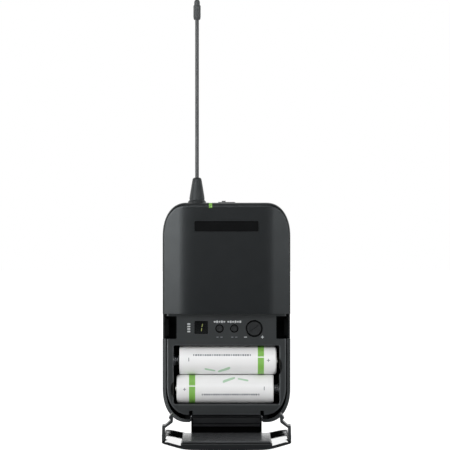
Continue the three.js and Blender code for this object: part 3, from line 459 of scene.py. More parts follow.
def pack_solid(side=0.0, front=0.0, back=0.0):
    """The whole closed pack as one solid, moved in by a wall at its sides, front and back."""
    edge = perimeter()
    rings = []
    for narrow, sink in quarter_round(ROUND_STEPS):
        inset, y = side + BACK_ROUNDING * narrow, -back - BACK_ROUNDING * sink
        rings.append([(x + nx * inset, y, z + nz * inset) for x, z, nx, nz in edge])
    for step in range(ROUND_STEPS + 1):
        share = step / ROUND_STEPS
        ring = []
        for x, z, nx, nz in edge:
            length = SHOULDER + (TOP_SHOULDER - SHOULDER) * nz * nz
            corner_y = front_y(x + nx * side) + front
            face_y = front_y(x + nx * (side + length)) + front
            inset = side + length * share * share
            y = (1 - share) ** 2 * (corner_y + length) + share ** 2 * face_y
            y += 2 * share * (1 - share) * corner_y
            ring.append((x + nx * inset, y, z + nz * inset))
        rings.append(ring)
    count = len(edge)
    vertices = [vertex for ring in rings for vertex in ring]
    faces = side_faces(len(rings), count)
    for start in (0, (len(rings) - 1) * count):
        for index in range(count // 2 - 1):
            mates = (index, index + 1, count - 2 - index, count - 1 - index)
            faces.append(tuple(start + mate for mate in mates))
    return make(vertices, faces)


def behind_face(offset, back=FAR):
    """Everything behind a copy of the front face moved back by an offset."""
    reach = HALF_WIDTH + 3
    columns = 70
    across = [-reach + 2 * reach * column / columns for column in range(columns + 1)]
    face = [(x, front_y(x) + offset) for x in across]
    return prism("z", face + [(reach, back), (-reach, back)], BOTTOM_Z - 5, TOP_Z + 5)


# --- materials


def set_inputs(tree, node, **inputs):
    """Joins or sets a node's inputs, named with _ for a space or numbered in0, in1 and so on."""
    for key, value in inputs.items():
        numbered = key.startswith("in") and key[2:].isdigit()
        socket = node.inputs[int(key[2:]) if numbered else key.replace("_", " ")]
        if isinstance(value, bpy.types.NodeSocket):
            tree.links.new(value, socket)
        else:
            socket.default_value = value
    return node


def add_node(tree, kind, settings=None, **inputs):
    """Adds a shader node, sets its options and joins or sets its inputs by name."""
    node = tree.nodes.new("ShaderNode" + kind)
    for key, value in (settings or {}).items():
        setattr(node, key, value)
    return set_inputs(tree, node, **inputs)


def linear(colour):
    """An sRGB colour written 0 to 255, as linear RGBA."""
    shares = [channel / 255 for channel in colour]
    channels = [c / 12.92 if c <= 0.04045 else ((c + 0.055) / 1.055) ** 2.4 for c in shares]
    return (*channels, 1.0)


def scaled(colour, factor, lift=0.0):
    return (*[min(channel * factor + lift, 1) for channel in colour[:3]], 1.0)


def blank_material():
    look = bpy.data.materials.new("look")
    look.use_nodes = True
    tree = look.node_tree
    return look, tree, tree.nodes["Principled BSDF"]


def bumps(tree, height, depth, strength=1.0):
    bump = add_node(tree, "Bump", None, Strength=strength, Distance=depth * MM, Height=height)
    return bump.outputs["Normal"]


def millimetre_noise(tree, size, detail=2.0):
    """Noise whose features are about size millimetres wide."""
    coordinates = add_node(tree, "TexCoord").outputs["Object"]
    noise = add_node(tree, "TexNoise", Vector=coordinates, Scale=1 / (size * MM), Detail=detail)
    return noise.outputs["Fac"]


def stretch(tree, value, low, high, to_low, to_high):
    return add_node(
        tree, "MapRange", None, in0=value, in1=low, in2=high, in3=to_low, in4=to_high,
    ).outputs[0]


def blend_colours(tree, share, first, second):
    mixed = add_node(tree, "Mix", {"data_type": "RGBA"}, in0=share, in6=first, in7=second)
    return mixed.outputs[2]


def edge_mask(tree, radius):
    """1 on sharp edges and 0 on open surfaces."""
    rounded = add_node(tree, "Bevel", {"samples": 4}, Radius=radius * MM).outputs["Normal"]
    true_normal = add_node(tree, "NewGeometry").outputs["Normal"]
    facing = add_node(tree, "VectorMath", {"operation": "DOT_PRODUCT"}, in0=rounded, in1=true_normal)
    return stretch(tree, facing.outputs["Value"], 0.985, 0.8, 0.0, 1.0)


COOL_SHEEN = (0.92, 0.98, 1.0, 1.0)


def painted_light_by_height(tree, low, high):
    """Painted light: a specular level that grows from the bottom of the pack to its top, standing in for
    brighter light on the upper faces.
    """
    position = add_node(tree, "TexCoord").outputs["Object"]
    height = add_node(tree, "SeparateXYZ", None, in0=position).outputs["Z"]
    return stretch(tree, height, BOTTOM_Z * MM, TOP_Z * MM, low, high)


def plastic(colour, roughness, grain=0.18, depth=0.012, wear=0.25, coat=0.0, mottle=0.08, specular=0.5,
            spread=0.03, painted_top_specular=None):
    """Moulded plastic: a spark-eroded grain, faint mottling, handling shine and edges rubbed lighter; a
    second specular level, when given, paints light that grows towards the top.
    """
    look, tree, surface = blank_material()
    base = linear(colour)
    mottling = stretch(tree, millimetre_noise(tree, 14, 3), 0.3, 0.7, 0.0, 1.0)
    tone = blend_colours(tree, mottling, scaled(base, 1 - mottle), scaled(base, 1 + mottle))
    if wear:
        scuffs = stretch(tree, millimetre_noise(tree, 1.6, 4), 0.42, 0.62, 0.25, 1.0)
        share = add_node(tree, "Math", {"operation": "MULTIPLY"}, in0=edge_mask(tree, 0.3), in1=scuffs)
        share = add_node(tree, "Math", {"operation": "MULTIPLY"}, in0=share.outputs[0], in1=wear)
        tone = blend_colours(tree, share.outputs[0], tone, scaled(base, 2.6, 0.02))
    handling = millimetre_noise(tree, 7, 1)
    set_inputs(
        tree, surface, Base_Color=tone, Normal=bumps(tree, millimetre_noise(tree, grain, 2), depth),
        Roughness=stretch(tree, handling, 0.2, 0.8, roughness - spread, roughness + spread),
        Specular_IOR_Level=painted_light_by_height(tree, specular, painted_top_specular) if painted_top_specular else specular,
        Specular_Tint=COOL_SHEEN, Coat_Weight=coat, Coat_Roughness=0.12,
    )
    return look


def metal(colour, roughness):
    """Plated or spring metal with fine lines and faint tarnish."""
    look, tree, surface = blank_material()
    base = linear(colour)
    tarnish = stretch(tree, millimetre_noise(tree, 3, 4), 0.35, 0.7, 0.0, 1.0)
    lines = millimetre_noise(tree, 0.25, 3.0)
    set_inputs(
        tree, surface, Base_Color=blend_colours(tree, tarnish, base, scaled(base, 0.7)), Metallic=1.0,
        Roughness=stretch(tree, lines, 0.3, 0.7, roughness - 0.06, roughness + 0.08),
        Normal=bumps(tree, lines, 0.004, 0.6),
    )
    return look


def glowing(colour, strength):
    """A lit translucent part, slightly uneven."""
    look, tree, surface = blank_material()
    base = linear(colour)
    uneven = stretch(tree, millimetre_noise(tree, 0.9, 2), 0.35, 0.65, 0.0, 1.0)
    tone = blend_colours(tree, uneven, scaled(base, 0.6), base)
    set_inputs(
        tree, surface, Base_Color=tone, Emission_Color=tone, Emission_Strength=strength, Roughness=0.25,
        Coat_Weight=0.5,
    )
    return look


def circuit_board():
    """Solder mask over faint copper tracks, with scattered pads."""
    look, tree, surface = blank_material()
    coordinates = add_node(tree, "TexCoord").outputs["Object"]
    tracks = add_node(
        tree, "TexBrick", {"offset": 0.35}, Vector=coordinates, Scale=1 / (2.4 * MM),
        Color1=linear((22, 84, 50)), Color2=linear((28, 96, 58)), Mortar=linear((44, 122, 74)),
    ).outputs
    pads = add_node(tree, "TexVoronoi", None, Vector=coordinates, Scale=1 / (3.1 * MM)).outputs["Distance"]
    on_pad = stretch(tree, pads, 0.16, 0.19, 1.0, 0.0)
    set_inputs(
        tree, surface, Base_Color=blend_colours(tree, on_pad, tracks["Color"], linear((190, 180, 150))),
        Roughness=0.35, Normal=bumps(tree, tracks["Fac"], 0.03, 0.5),
    )
    return look


LOOKS = {
    # front and chassis paint light: their specular level grows towards the top of the pack
    "front": plastic((15, 17, 19), 0.33, specular=0.18, painted_top_specular=0.47, spread=0.02),
    "housing": plastic((18, 20, 22), 0.4, specular=0.38),
    "chassis": plastic((34, 36, 37), 0.44, wear=0.35, specular=0.36, painted_top_specular=0.58),
    # painted highlight: a lighter, shinier finish for the chassis's rounded front edges
    "chassis_edge": plastic((46, 48, 50), 0.4, wear=0.0, specular=0.6),
    "door": plastic((18, 19, 21), 0.38, wear=0.35, specular=0.27),
    "door_inside": plastic((10, 11, 12), 0.05, depth=0.001, wear=0.0, spread=0.01, mottle=0.03),
    "latch": plastic((28, 30, 32), 0.4, wear=0.5),
    "dim_nickel": metal((84, 83, 80), 0.45),
    "liner": plastic((72, 73, 75), 0.26, depth=0.002, wear=0.3, spread=0.015, mottle=0.04),
    # painted shade: the strap past its root is near black
    "strap": plastic((2, 2, 2), 0.6, depth=0.003, wear=0.0, specular=0.02),
    "strap_root": plastic((19, 19, 21), 0.4, wear=0.3, specular=0.3),
    # painted light: a lighter finish for the lower step of the strap root, which lies in shade
    "strap_low": plastic((38, 38, 41), 0.4, wear=0.3),
    # painted shade: a dead black for hollows, pockets and gaps
    "gap_black": plastic((2, 2, 2), 0.6, wear=0.0, specular=0.1),
    "badge": plastic((6, 6, 7), 0.3, depth=0.002, wear=0.0, mottle=0.05, specular=0.15),
    "lens": plastic((7, 8, 9), 0.06, depth=0.001, wear=0.0, mottle=0.05, specular=0.35),
    "control": plastic((27, 28, 29), 0.5, grain=0.3, depth=0.02, wear=0.3, specular=0.32),
    "component": plastic((20, 20, 21), 0.5, wear=0.1),
    "rubber": plastic((34, 36, 37), 0.5, grain=0.3, depth=0.01, wear=0.1, mottle=0.2),
    "tip": plastic((66, 67, 68), 0.5, grain=0.3, depth=0.01, wear=0.0, mottle=0.2),
    "whip": plastic((72, 72, 73), 0.45, grain=0.3, depth=0.01, wear=0.0, mottle=0.2),
    "sleeve": plastic((241, 241, 241), 0.3, depth=0.002, wear=0.0, coat=0.3, mottle=0.01),
    "sleeve_green": plastic((132, 188, 86), 0.3, depth=0.002, wear=0.0, coat=0.3, mottle=0.04),
    "pale_green": plastic((176, 208, 180), 0.35, depth=0.002, wear=0.0, mottle=0.06),
    "ink_grey": plastic((116, 120, 126), 0.45, depth=0.001, wear=0.0),
    "ink_white": plastic((178, 181, 182), 0.5, grain=0.25, depth=0.01, wear=0.0, mottle=0.1),
    "ink_faint": plastic((110, 114, 118), 0.5, grain=0.25, depth=0.01, wear=0.0),
    "label": plastic((150, 153, 156), 0.4, depth=0.004, wear=0.0, mottle=0.04),
    "digit": glowing((150, 158, 92), 0.3),
    "light": glowing((118, 172, 68), 0.25),
    "board": circuit_board(),
    "tin": metal((176, 178, 180), 0.38),
    "spring": metal((186, 188, 192), 0.24),
    "clip": metal((84, 86, 90), 0.3),
    "nickel": metal((200, 200, 196), 0.2),
    "gold": metal((216, 178, 90), 0.25),
}
for look_name, made_look in LOOKS.items():
    made_look.name = look_name

# --- housings

BADGE_BOX = cad_box("blank_badge")
LIGHT_BOX = cad_box("power_light_pipe")
LIGHT_BOX[0] += 0.35
LIGHT_BOX[1] -= 0.1
LIGHT_BOX[4] += 0.6
SLIDER_BOX = cad_box("power_slider")
ANTENNA_X, ANTENNA_Y = cad_middle("antenna_whip")[:2]
CONNECTOR_X, CONNECTOR_Y = cad_middle("connector_shell")[:2]
CONNECTOR_RADIUS = (cad_box("connector_shell")[1] - cad_box("connector_shell")[0]) / 2
SCREW_NAMES = [f"{end}_{side}" for end in ("upper", "lower") for side in ("left", "right")]
SCREWS = {name: cad_middle("screw_" + name) for name in SCREW_NAMES}
LOWER_SCREWS = [SCREWS["lower_left"], SCREWS["lower_right"]]
SCREW_HEAD = 1.85
SWITCH_TRAVEL = 3.0
SLOT = {"half": 3.2, "depth": 1.5}


def slot_middle():
    return (SLIDER_BOX[0] + SLIDER_BOX[1] + SWITCH_TRAVEL) / 2, (SLIDER_BOX[2] + SLIDER_BOX[3]) / 2


def switch_slot(grow, low, high):
    x, y = slot_middle()
    reach, depth = SLOT["half"] + grow, SLOT["depth"] + grow
    return prism("z", rounded_rectangle(x - reach, x + reach, y - depth, y + depth, 0.6 + grow), low, high)


def top_openings():
    return [
        rod("z", ANTENNA_X, ANTENNA_Y, TOP_Z - 8, TOP_Z + 2, 3.1),
        rod("z", CONNECTOR_X, CONNECTOR_Y, TOP_Z - 8, TOP_Z + 2, CONNECTOR_RADIUS + SEAM, 96),
        switch_slot(0, TOP_Z - 8, TOP_Z + 2),
    ]


def seat_cutter(box, back):
    """Cuts from the front, a little wider and taller than the box of the piece that sits there."""
    return block(box[0] - SEAT_GAP, box[1] + SEAT_GAP, -FAR, back, box[4] - SEAT_GAP, box[5] + SEAT_GAP)


def build_front_housing():
    shell = keep(pack_solid(), block(-FAR, FAR, -FAR, PARTING_Y - SEAM, HOUSING_END_Z, FAR))
    carve(shell, pack_solid(FRONT_WALL, FRONT_WALL, -FAR))
    bosses = []
    for name in ("upper_left", "upper_right"):
        x, _, z = SCREWS[name]
        boss = rod("y", x, z, front_y(x) + 1, -4.6, BOSS_RADIUS)
        bosses.append(carve(boss, rod("y", x, z, SCREW_FLOOR_Y, 1, SCREW_BORE)))
    join(shell, *bosses, switch_slot(1.1, TOP_Z - 1, TOP_Z + 0.35))
    x0, x1, _, back, z0, _ = LIGHT_BOX
    light_seat = block(x0 - SEAT_GAP, x1 + SEAT_GAP, -FAR, back + SEAT_GAP, z0 - SEAT_GAP, FAR)
    carve(shell, seat_cutter(BADGE_BOX, FRONT_Y + 0.7), light_seat, *top_openings())
    finish_piece(shell, "front_housing_shell", "front", "housing_plastic", "front_housing", edge=0.2)


def recolour(obj, look, chosen):
    """Gives another look to the faces that are chosen by their middle and normal."""
    if look not in obj.data.materials:
        obj.data.materials.append(LOOKS[look])
    index = obj.data.materials.find(look)
    for face in obj.data.polygons:
        if chosen(face.center / MM, face.normal):
            face.material_index = index


# The inside of the rear housing is painted black as shade.
def inside_rear_housing(centre, _):
    return abs(centre.x) < 30.3 and BOTTOM_Z + 1.4 < centre.z < TOP_Z - 1.6 and -13.9 < centre.y < -0.95


def build_rear_housing():
    shell = keep(pack_solid(), behind_face(RIM_INSET))
    hollow = prism("y", outline(
        HALF_WIDTH - SIDE_WALL, TOP_Z - END_WALL, BOTTOM_Z + END_WALL,
        CORNER_WIDTH - SIDE_WALL * 0.6, CORNER_HEIGHT - END_WALL,
    ), -FAR, -BACK_WALL)
    upper = block(-FAR, FAR, -FAR, PARTING_Y, HOUSING_END_Z - SEAM, FAR)
    pockets = both_sides(POCKET["inner"], FAR, -FAR, POCKET["rim_y"], POCKET["bottom"], HOUSING_END_Z)
    strap_room = block(-STRAP_GAP_HALF, STRAP_GAP_HALF, -FAR, -5.2, -FAR, EAR["top"])
    carve(shell, hollow, upper, *pockets, strap_room)
    ears = both_sides(EAR["inner"], EAR["outer"], EAR["front"], -BACK_WALL, BOTTOM_Z + 0.6, EAR["top"])
    catches = both_sides(
        CATCH["inner"], CATCH["outer"], POCKET["rim_y"], CATCH["back"], CATCH["bottom"], CATCH["top"],
    )
    bosses = [rod("y", x, z, -4.2, -BACK_WALL / 2, BOSS_RADIUS) for x, _, z in SCREWS.values()]
    join(shell, *ears, *catches, *bosses)
    recess = both_sides(POCKET["recess"], FAR, -FAR, -4.5, POCKET["bottom"], HOUSING_END_Z)
    x0, x1, _, _, z0, z1 = cad_box("rear_label")
    seat = prism("y", rounded_rectangle(x0 - 0.15, x1 + 0.15, z0 - 0.15, z1 + 0.15, 1.1), -0.35, 2)
    carve(shell, *recess, seat)
    outer = CLIP_X + 0.4
    side_view = rounded_polygon(
        [(-0.5, CLIP_Z - 4.2), (5.6, CLIP_Z - 2.2), (5.6, CLIP_Z + 2.2), (-0.5, CLIP_Z + 4.2)], 1.6,
    )
    join(shell, *[prism("x", side_view, *ends) for ends in ((-outer, 3.6 - outer), (outer - 3.6, outer))])
    holes = [rod("y", x, z, -5.2, 1, SCREW_BORE) for x, _, z in SCREWS.values()]
    sinks = [rod("y", x, z, -1.9, 1, SCREW_HEAD + 0.15) for x, _, z in SCREWS.values()]
    pins = [
        rod("x", HINGE_Y, HINGE_Z, HINGE_X0 - 1, HINGE_X1 + 1, PIN_HOLE),
        rod("x", CLIP_Y, CLIP_Z, -outer - 1, outer + 1, 1.2),
    ]
    carve(shell, *holes, *sinks, *pins, *top_openings())
    finish_piece(shell, "rear_housing_shell", "housing", "housing_plastic", "rear_housing", edge=0.22)
    # painted shade: black over the inside of the rear housing
    recolour(shell, "gap_black", inside_rear_housing)


def build_badge():
    columns = 24
    x0, x1, _, _, z0, z1 = BADGE_BOX
    across = [x0 + (x1 - x0) * column / columns for column in range(columns + 1)]
    face = [(x, front_y(x) + 0.04) for x in across]
    plate = prism("z", face + [(x1, FRONT_Y + 0.65), (x0, FRONT_Y + 0.65)], z0, z1)
    keep(plate, prism("y", rounded_rectangle(x0, x1, z0, z1, 0.5), -FAR, 0))
    finish_piece(plate, "badge_plate", "badge", "badge_gloss", "blank_badge", edge=0.06)


def build_rear_label():
    x0, x1, _, _, z0, z1 = cad_box("rear_label")
    film = prism("y", rounded_rectangle(x0, x1, z0, z1, 1.0), -0.3, -0.05)
    finish_piece(film, "label_film", "label", "label_film", "rear_label", edge=0.04)
    rules = [block(x0 + 1.5, x1 - 1.5, -0.08, -0.03, z, z + 0.25) for z in (z0 + 2.4, z0 + 6.4, z0 + 10.4)]
    frame_lines = join(rules[0], *rules[1:], block(-0.15, 0.15, -0.08, -0.03, z0 + 2.4, z0 + 10.6))
    finish_piece(frame_lines, "label_rules", "ink_faint", "label_film")


# --- chassis and its controls

DISPLAY_BOX = cad_box("display_lens")
BUTTON_PLACES = {name: cad_middle(name + "_button") for name in ("group", "channel")}
ROTOR_X, _, ROTOR_Z = cad_middle("gain_rotor")
BUTTON_HOLE = 2.1
ROTOR_HOLE = 4.3
NOTCH = {"inner": 17.0, "outer": 18.8, "top": -49.3}
SCOOP = {"across": 3.6, "deep": 4.5, "tall": 5.0, "reach": 1.7}
UPPER_CELL_Z = cad_middle("upper_cell_can")[2]
LOWER_CELL_Z = cad_middle("lower_cell_can")[2]
CELL_Y = cad_middle("upper_cell_can")[1]


def scoop(side, z):
    """A thumb scoop beside the bay, to get a nail behind the cell's end."""
    angles = [math.pi * step / 24 for step in range(1, 24)]
    ball = turned("y", 0, 0, [(0, -1.0), *[(math.sin(a), -math.cos(a)) for a in angles], (0, 1.0)], 48)
    middle = Vector((side * (BAY["half"] + SCOOP["reach"] - SCOOP["across"]), PANEL_Y, z)) * MM
    size = Matrix.Diagonal((SCOOP["across"], SCOOP["deep"], SCOOP["tall"], 1))
    ball.data.transform(Matrix.Translation(middle) @ size)
    return ball


def paint_gap_shade(obj, x, z, radius, front, back=FAR):
    """Paints shade into a round gap: its wall, and all that lies behind it, take a dead black finish."""
    def in_gap(centre, _):
        on_wall = abs(math.hypot(centre.x - x, centre.z - z) - radius) < 0.12 and centre.y > front
        return on_wall or centre.y > back

    recolour(obj, "gap_black", in_gap)


# The rounded front edges of the chassis, which take a painted highlight.
def on_chassis_edge(centre, normal):
    return PANEL_Y - 0.05 < centre.y < PANEL_Y + 0.8 and 0.3 < -normal.y < 0.998


# Everything behind the face plate above the bay, which is painted black as shade.
def behind_controls(centre, _):
    return centre.y > PANEL_BACK_Y - 0.1 and centre.z > BAY["top"] + 1.1


def chassis_ribs():
    """What stands behind the face plate: the walls of the bay and latch pockets, and the screw columns."""
    half = BAY["wall"] + 1
    bay = block(-half, half, PANEL_Y + 0.5, -BACK_WALL - SEAM, BAY["bottom"] - 1, BAY["top"] + 1)
    columns = [rod("y", x, z, PANEL_Y + 0.5, -4.5, BOSS_RADIUS) for x, _, z in LOWER_SCREWS]
    inner, wall = POCKET["inner"], POCKET_WALL["thickness"]
    reach = (POCKET["bottom"] - wall, POCKET["top"] + wall)
    walls = both_sides(inner - wall, inner, PANEL_Y + 0.5, POCKET_WALL["back"], *reach)
    # a thin web carries each wall on past the board's edge, to the rim of the rear housing
    webs = both_sides(inner - POCKET_WALL["web"], inner, -9, POCKET["rim_y"] - 0.1, *reach)
    return join(bay, *columns, *walls, *webs)


def build_chassis():
    half, top, bottom = CHASSIS_HALF, CHASSIS_TOP_Z + 20, CHASSIS_BOTTOM_Z
    edge, inside = FRAME_EDGE, FRAME_INSIDE
    shape = outline(half + edge["grow"], top, bottom, *edge["corner"])
    inner = outline(half - inside["wall"], top, bottom + inside["wall"], *inside["corner"])
    rounding = [(edge["width"] * inset, PANEL_Y + edge["depth"] * sink) for inset, sink in quarter_round(6)]
    chassis = stack(shape, [*rounding, (0.0, edge["back"])])
    carve(chassis, prism("y", inner, PANEL_BACK_Y, 0))
    join(chassis, keep(chassis_ribs(), prism("y", shape, PANEL_Y, 0)))
    mouth = rounded_rectangle(-BAY["half"], BAY["half"], BAY["bottom"], BAY["top"], 0.7)
    carve(
        chassis,
        block(-FAR, FAR, -FAR, FAR, CHASSIS_TOP_Z, FAR),
        block(-BAY["wall"], BAY["wall"], PANEL_BACK_Y, 0, BAY["bottom"], BAY["top"]),
        prism("y", mouth, -FAR, 0),
        flared_mouth(mouth, PANEL_Y, 0.7),
        *both_sides(POCKET["inner"], FAR, -FAR, 0, POCKET["bottom"], POCKET["top"]),
        *both_sides(NOTCH["inner"], NOTCH["outer"], -FAR, 0, -FAR, NOTCH["top"]),
        block(-EAR["outer"] - 0.3, EAR["outer"] + 0.3, EAR["front"] - 0.3, 0, -FAR, EAR["top"] + 0.3),
        seat_cutter(DISPLAY_BOX, 0),
        rod("y", ROTOR_X, ROTOR_Z, -FAR, 0, ROTOR_HOLE, 72),
        *[rod("y", x, z, -FAR, 0, BUTTON_HOLE, 48) for x, _, z in BUTTON_PLACES.values()],
        *[rod("y", x, z, SCREW_FLOOR_Y, 0, SCREW_BORE) for x, _, z in LOWER_SCREWS],
        scoop(-1, LOWER_CELL_Z),
        scoop(1, UPPER_CELL_Z - 3),
    )
    finish_piece(chassis, "chassis_moulding", "chassis", "chassis_plastic", "chassis_frame", edge=0.25)
    # painted highlight on the rounded front edges
    recolour(chassis, "chassis_edge", on_chassis_edge)
    # painted shade behind the face plate and in the holes round the controls
    recolour(chassis, "gap_black", behind_controls)
    paint_gap_shade(chassis, ROTOR_X, ROTOR_Z, ROTOR_HOLE, PANEL_Y + 0.1)
    for x, _, z in BUTTON_PLACES.values():
        paint_gap_shade(chassis, x, z, BUTTON_HOLE, PANEL_Y + 0.1)


def build_display():
    x0, x1, y0, y1, z0, z1 = DISPLAY_BOX
    lens = prism("y", rounded_rectangle(x0, x1, z0, z1, 0.4), y0, y1)
    finish_piece(lens, "display_window", "lens", "display_black", "display_lens", edge=0.08)
    middle_x, middle_z = (x0 + x1) / 2 + 0.35, (z0 + z1) / 2
    lean = 0.16
    segments = []
    for low, high in ((-1.95, -0.2), (0.2, 1.95)):
        points = [(middle_x + lean * z + x, middle_z + z) for x, z in (
            (-0.17, low + 0.2), (0, low), (0.17, low + 0.2), (0.17, high - 0.2), (0, high),
            (-0.17, high - 0.2),
        )]
        segments.append(prism("y", points, y0 - 0.02, y0 + 0.05))
    digit = join(segments[0], segments[1])
    finish_piece(digit, "display_digit", "digit", "light_green")


def build_button(name):
    node = name + "_button"
    x0, x1, y0, y1, _, _ = cad_box(node)
    x, _, z = BUTTON_PLACES[name]
    flange = (x1 - x0) / 2
    face = flange - 1.0
    profile = [
        (0, y0 + 0.16), (face * 0.55, y0 + 0.13), (face - 0.32, y0), (face - 0.1, y0 + 0.08),
        (face, y0 + 0.3),
        (face, PANEL_BACK_Y + 0.3), (flange, PANEL_BACK_Y + 0.3), (flange, y1), (0, y1),
    ]
    button = turned("y", x, z, profile, 48)
    finish_piece(button, node + "_cap", "control", "control_plastic", node, body=node)
    paint_gap_shade(button, x, z, face, y0 + 0.2, y0 + 1.0)


def build_rotor():
    x0, x1, y0, y1, _, _ = cad_box("gain_rotor")
    radius = (x1 - x0) / 2
    back = y1 - 3.0
    profile = [
        (0, y0 + 0.1), (radius * 0.8, y0 + 0.08), (radius - 0.25, y0), (radius - 0.05, y0 + 0.12),
        (radius, y0 + 0.4), (radius, back), (1.4, back), (1.4, y1), (0, y1),
    ]
    rotor = turned("y", ROTOR_X, ROTOR_Z, profile, 72)
    groove = prism("y", rounded_rectangle(-2.7, 2.7, -0.33, 0.33, 0.3), -1, 1)
    turn = Matrix.Rotation(math.radians(-35), 4, "Y")
    shift = Matrix.Translation(Vector((ROTOR_X, y0 - 0.3, ROTOR_Z)) * MM)
    groove.data.transform(shift @ turn)
    carve(rotor, groove)
    finish_piece(
        rotor, "gain_rotor_cap", "control", "control_plastic", "gain_rotor", body="gain_rotor", edge=0.05,
    )
    paint_gap_shade(rotor, ROTOR_X, ROTOR_Z, radius, y0 + 0.3, y0 + 1.2)


def panel_mark(name, shapes, look="ink_white"):
    """Printed marks: flat shapes given as point lists in X and Z."""
    mark = join(*[prism("y", points, PANEL_Y - 0.03, PANEL_Y + 0.05) for points in shapes])
    finish_piece(mark, name, look, "control_plastic")


def bar(x, z, width, height):
    across, tall = width / 2, height / 2
    return rounded_rectangle(x - across, x + across, z - tall, z + tall, min(width, height) * 0.3, 3)


def build_legends():
    """Generic printed marks around the controls: short bars, a minus and a plus."""
    row_z, sign_z = ROTOR_Z + 3.4, ROTOR_Z - 4.3
    for name, count in (("group", 5), ("channel", 6)):
        x = BUTTON_PLACES[name][0]
        first = x - (count - 1) * 0.6
        heights = [1.15 if index % 2 else 0.8 for index in range(count)]
        letters = [bar(first + 1.2 * index, row_z, 0.9, tall) for index, tall in enumerate(heights)]
        panel_mark(name + "_legend", letters)
        panel_mark(name + "_tick", [bar(x + shift, sign_z, 1.1, 0.35) for shift in (-1, 1)], "ink_faint")
    minus_x, plus_x = ROTOR_X - 4.4, ROTOR_X + 4.1
    panel_mark("gain_minus", [bar(minus_x, sign_z, 1.5, 0.42)])
    panel_mark("gain_plus", [bar(plus_x, sign_z, 1.4, 0.4), bar(plus_x, sign_z, 0.4, 1.4)])
    side_x, middle_z = DISPLAY_BOX[0] - 2.9, ROTOR_Z + 0.4
    steps = (-1.5, -0.5, 0.5, 1.5)
    panel_mark("display_legend", [bar(side_x, middle_z + 1.25 * step, 1.5, 0.75) for step in steps])


# --- top panel and antenna


def build_light_pipe():
    x0, x1, y0, y1, z0, z1 = LIGHT_BOX
    steps = 8
    arc = []
    for step in range(steps + 1):
        share = step / steps
        arc.append((y0 + 2.4 * share ** 2, z1 - 2.6 * (1 - share) ** 2))
    side_view = [(y0 + 1.4, z0), (y0, z0)] + arc + [(y1, z1), (y1, z1 - 1.4), (y0 + 2.4, z1 - 1.4)]
    pipe = prism("x", side_view, x0, x1)
    finish_piece(pipe, "light_pipe", "light", "light_green", "power_light_pipe", edge=0.12)


def build_slider():
    x0, x1, y0, y1, z0, z1 = SLIDER_BOX
    x, y = (x0 + x1) / 2, (y0 + y1) / 2
    plate = prism("z", rounded_rectangle(x0, x1, y0, y1, 0.4), z0, z0 + 1)
    nub = prism("z", rounded_rectangle(x - 0.9, x + 0.9, y - 1, y + 1, 0.3), z0, z1)
    slider = join(plate, nub)
    grooves = [x - 0.45, x, x + 0.45]
    carve(slider, *[block(at - 0.12, at + 0.12, y - 2, y + 2, z1 - 0.25, z1 + 1) for at in grooves])
    finish_piece(
        slider, "power_slider_nub", "control", "control_plastic", "power_slider",
        body="power_slider", edge=0.08,
    )


def build_connector():
    z0, z1 = cad_height("connector_shell")
    outer = CONNECTOR_RADIUS
    bore = outer - 0.7
    shell = turned("z", CONNECTOR_X, CONNECTOR_Y, [
        (outer, z0), (outer, z1 - 0.35), (outer - 0.15, z1 - 0.08), (outer - 0.35, z1),
        (bore + 0.15, z1 - 0.1),
        (bore, z1 - 0.35), (bore, z0),
    ], 96)
    x, y = CONNECTOR_X, CONNECTOR_Y
    key = block(x - 0.6, x + 0.6, y + bore - 0.6, y + outer - 0.2, z1 - 5.5, z1 - 0.5)
    join(shell, key)
    finish_piece(shell, "connector_ring", "nickel", "nickel_plate", "connector_shell", edge=0.05)
    low, high = cad_height("connector_insert")
    insert = turned("z", CONNECTOR_X, CONNECTOR_Y, [
        (0, low), (bore - 0.1, low), (bore - 0.1, high - 0.3), (bore - 0.4, high), (0, high),
    ], 96)
    holes = []
    for number in range(1, 5):
        x, y, _ = cad_middle(f"connector_pin_{number}")
        holes.append(rod("z", x, y, low - 1, high + 1, 0.6, 24))
        x0, x1, _, _, pin_low, pin_high = cad_box(f"connector_pin_{number}")
        radius = (x1 - x0) / 2
        pin = turned("z", x, y, [
            (0, pin_low), (radius, pin_low), (radius, pin_high - 0.5), (radius * 0.8, pin_high - 0.15),
            (radius * 0.4, pin_high), (0, pin_high),
        ], 24)
        finish_piece(pin, f"contact_pin_{number}", "gold", "gold_plate", f"connector_pin_{number}")
    carve(insert, *holes)
    finish_piece(insert, "connector_core", "component", "component_black", "connector_insert", edge=0.05)


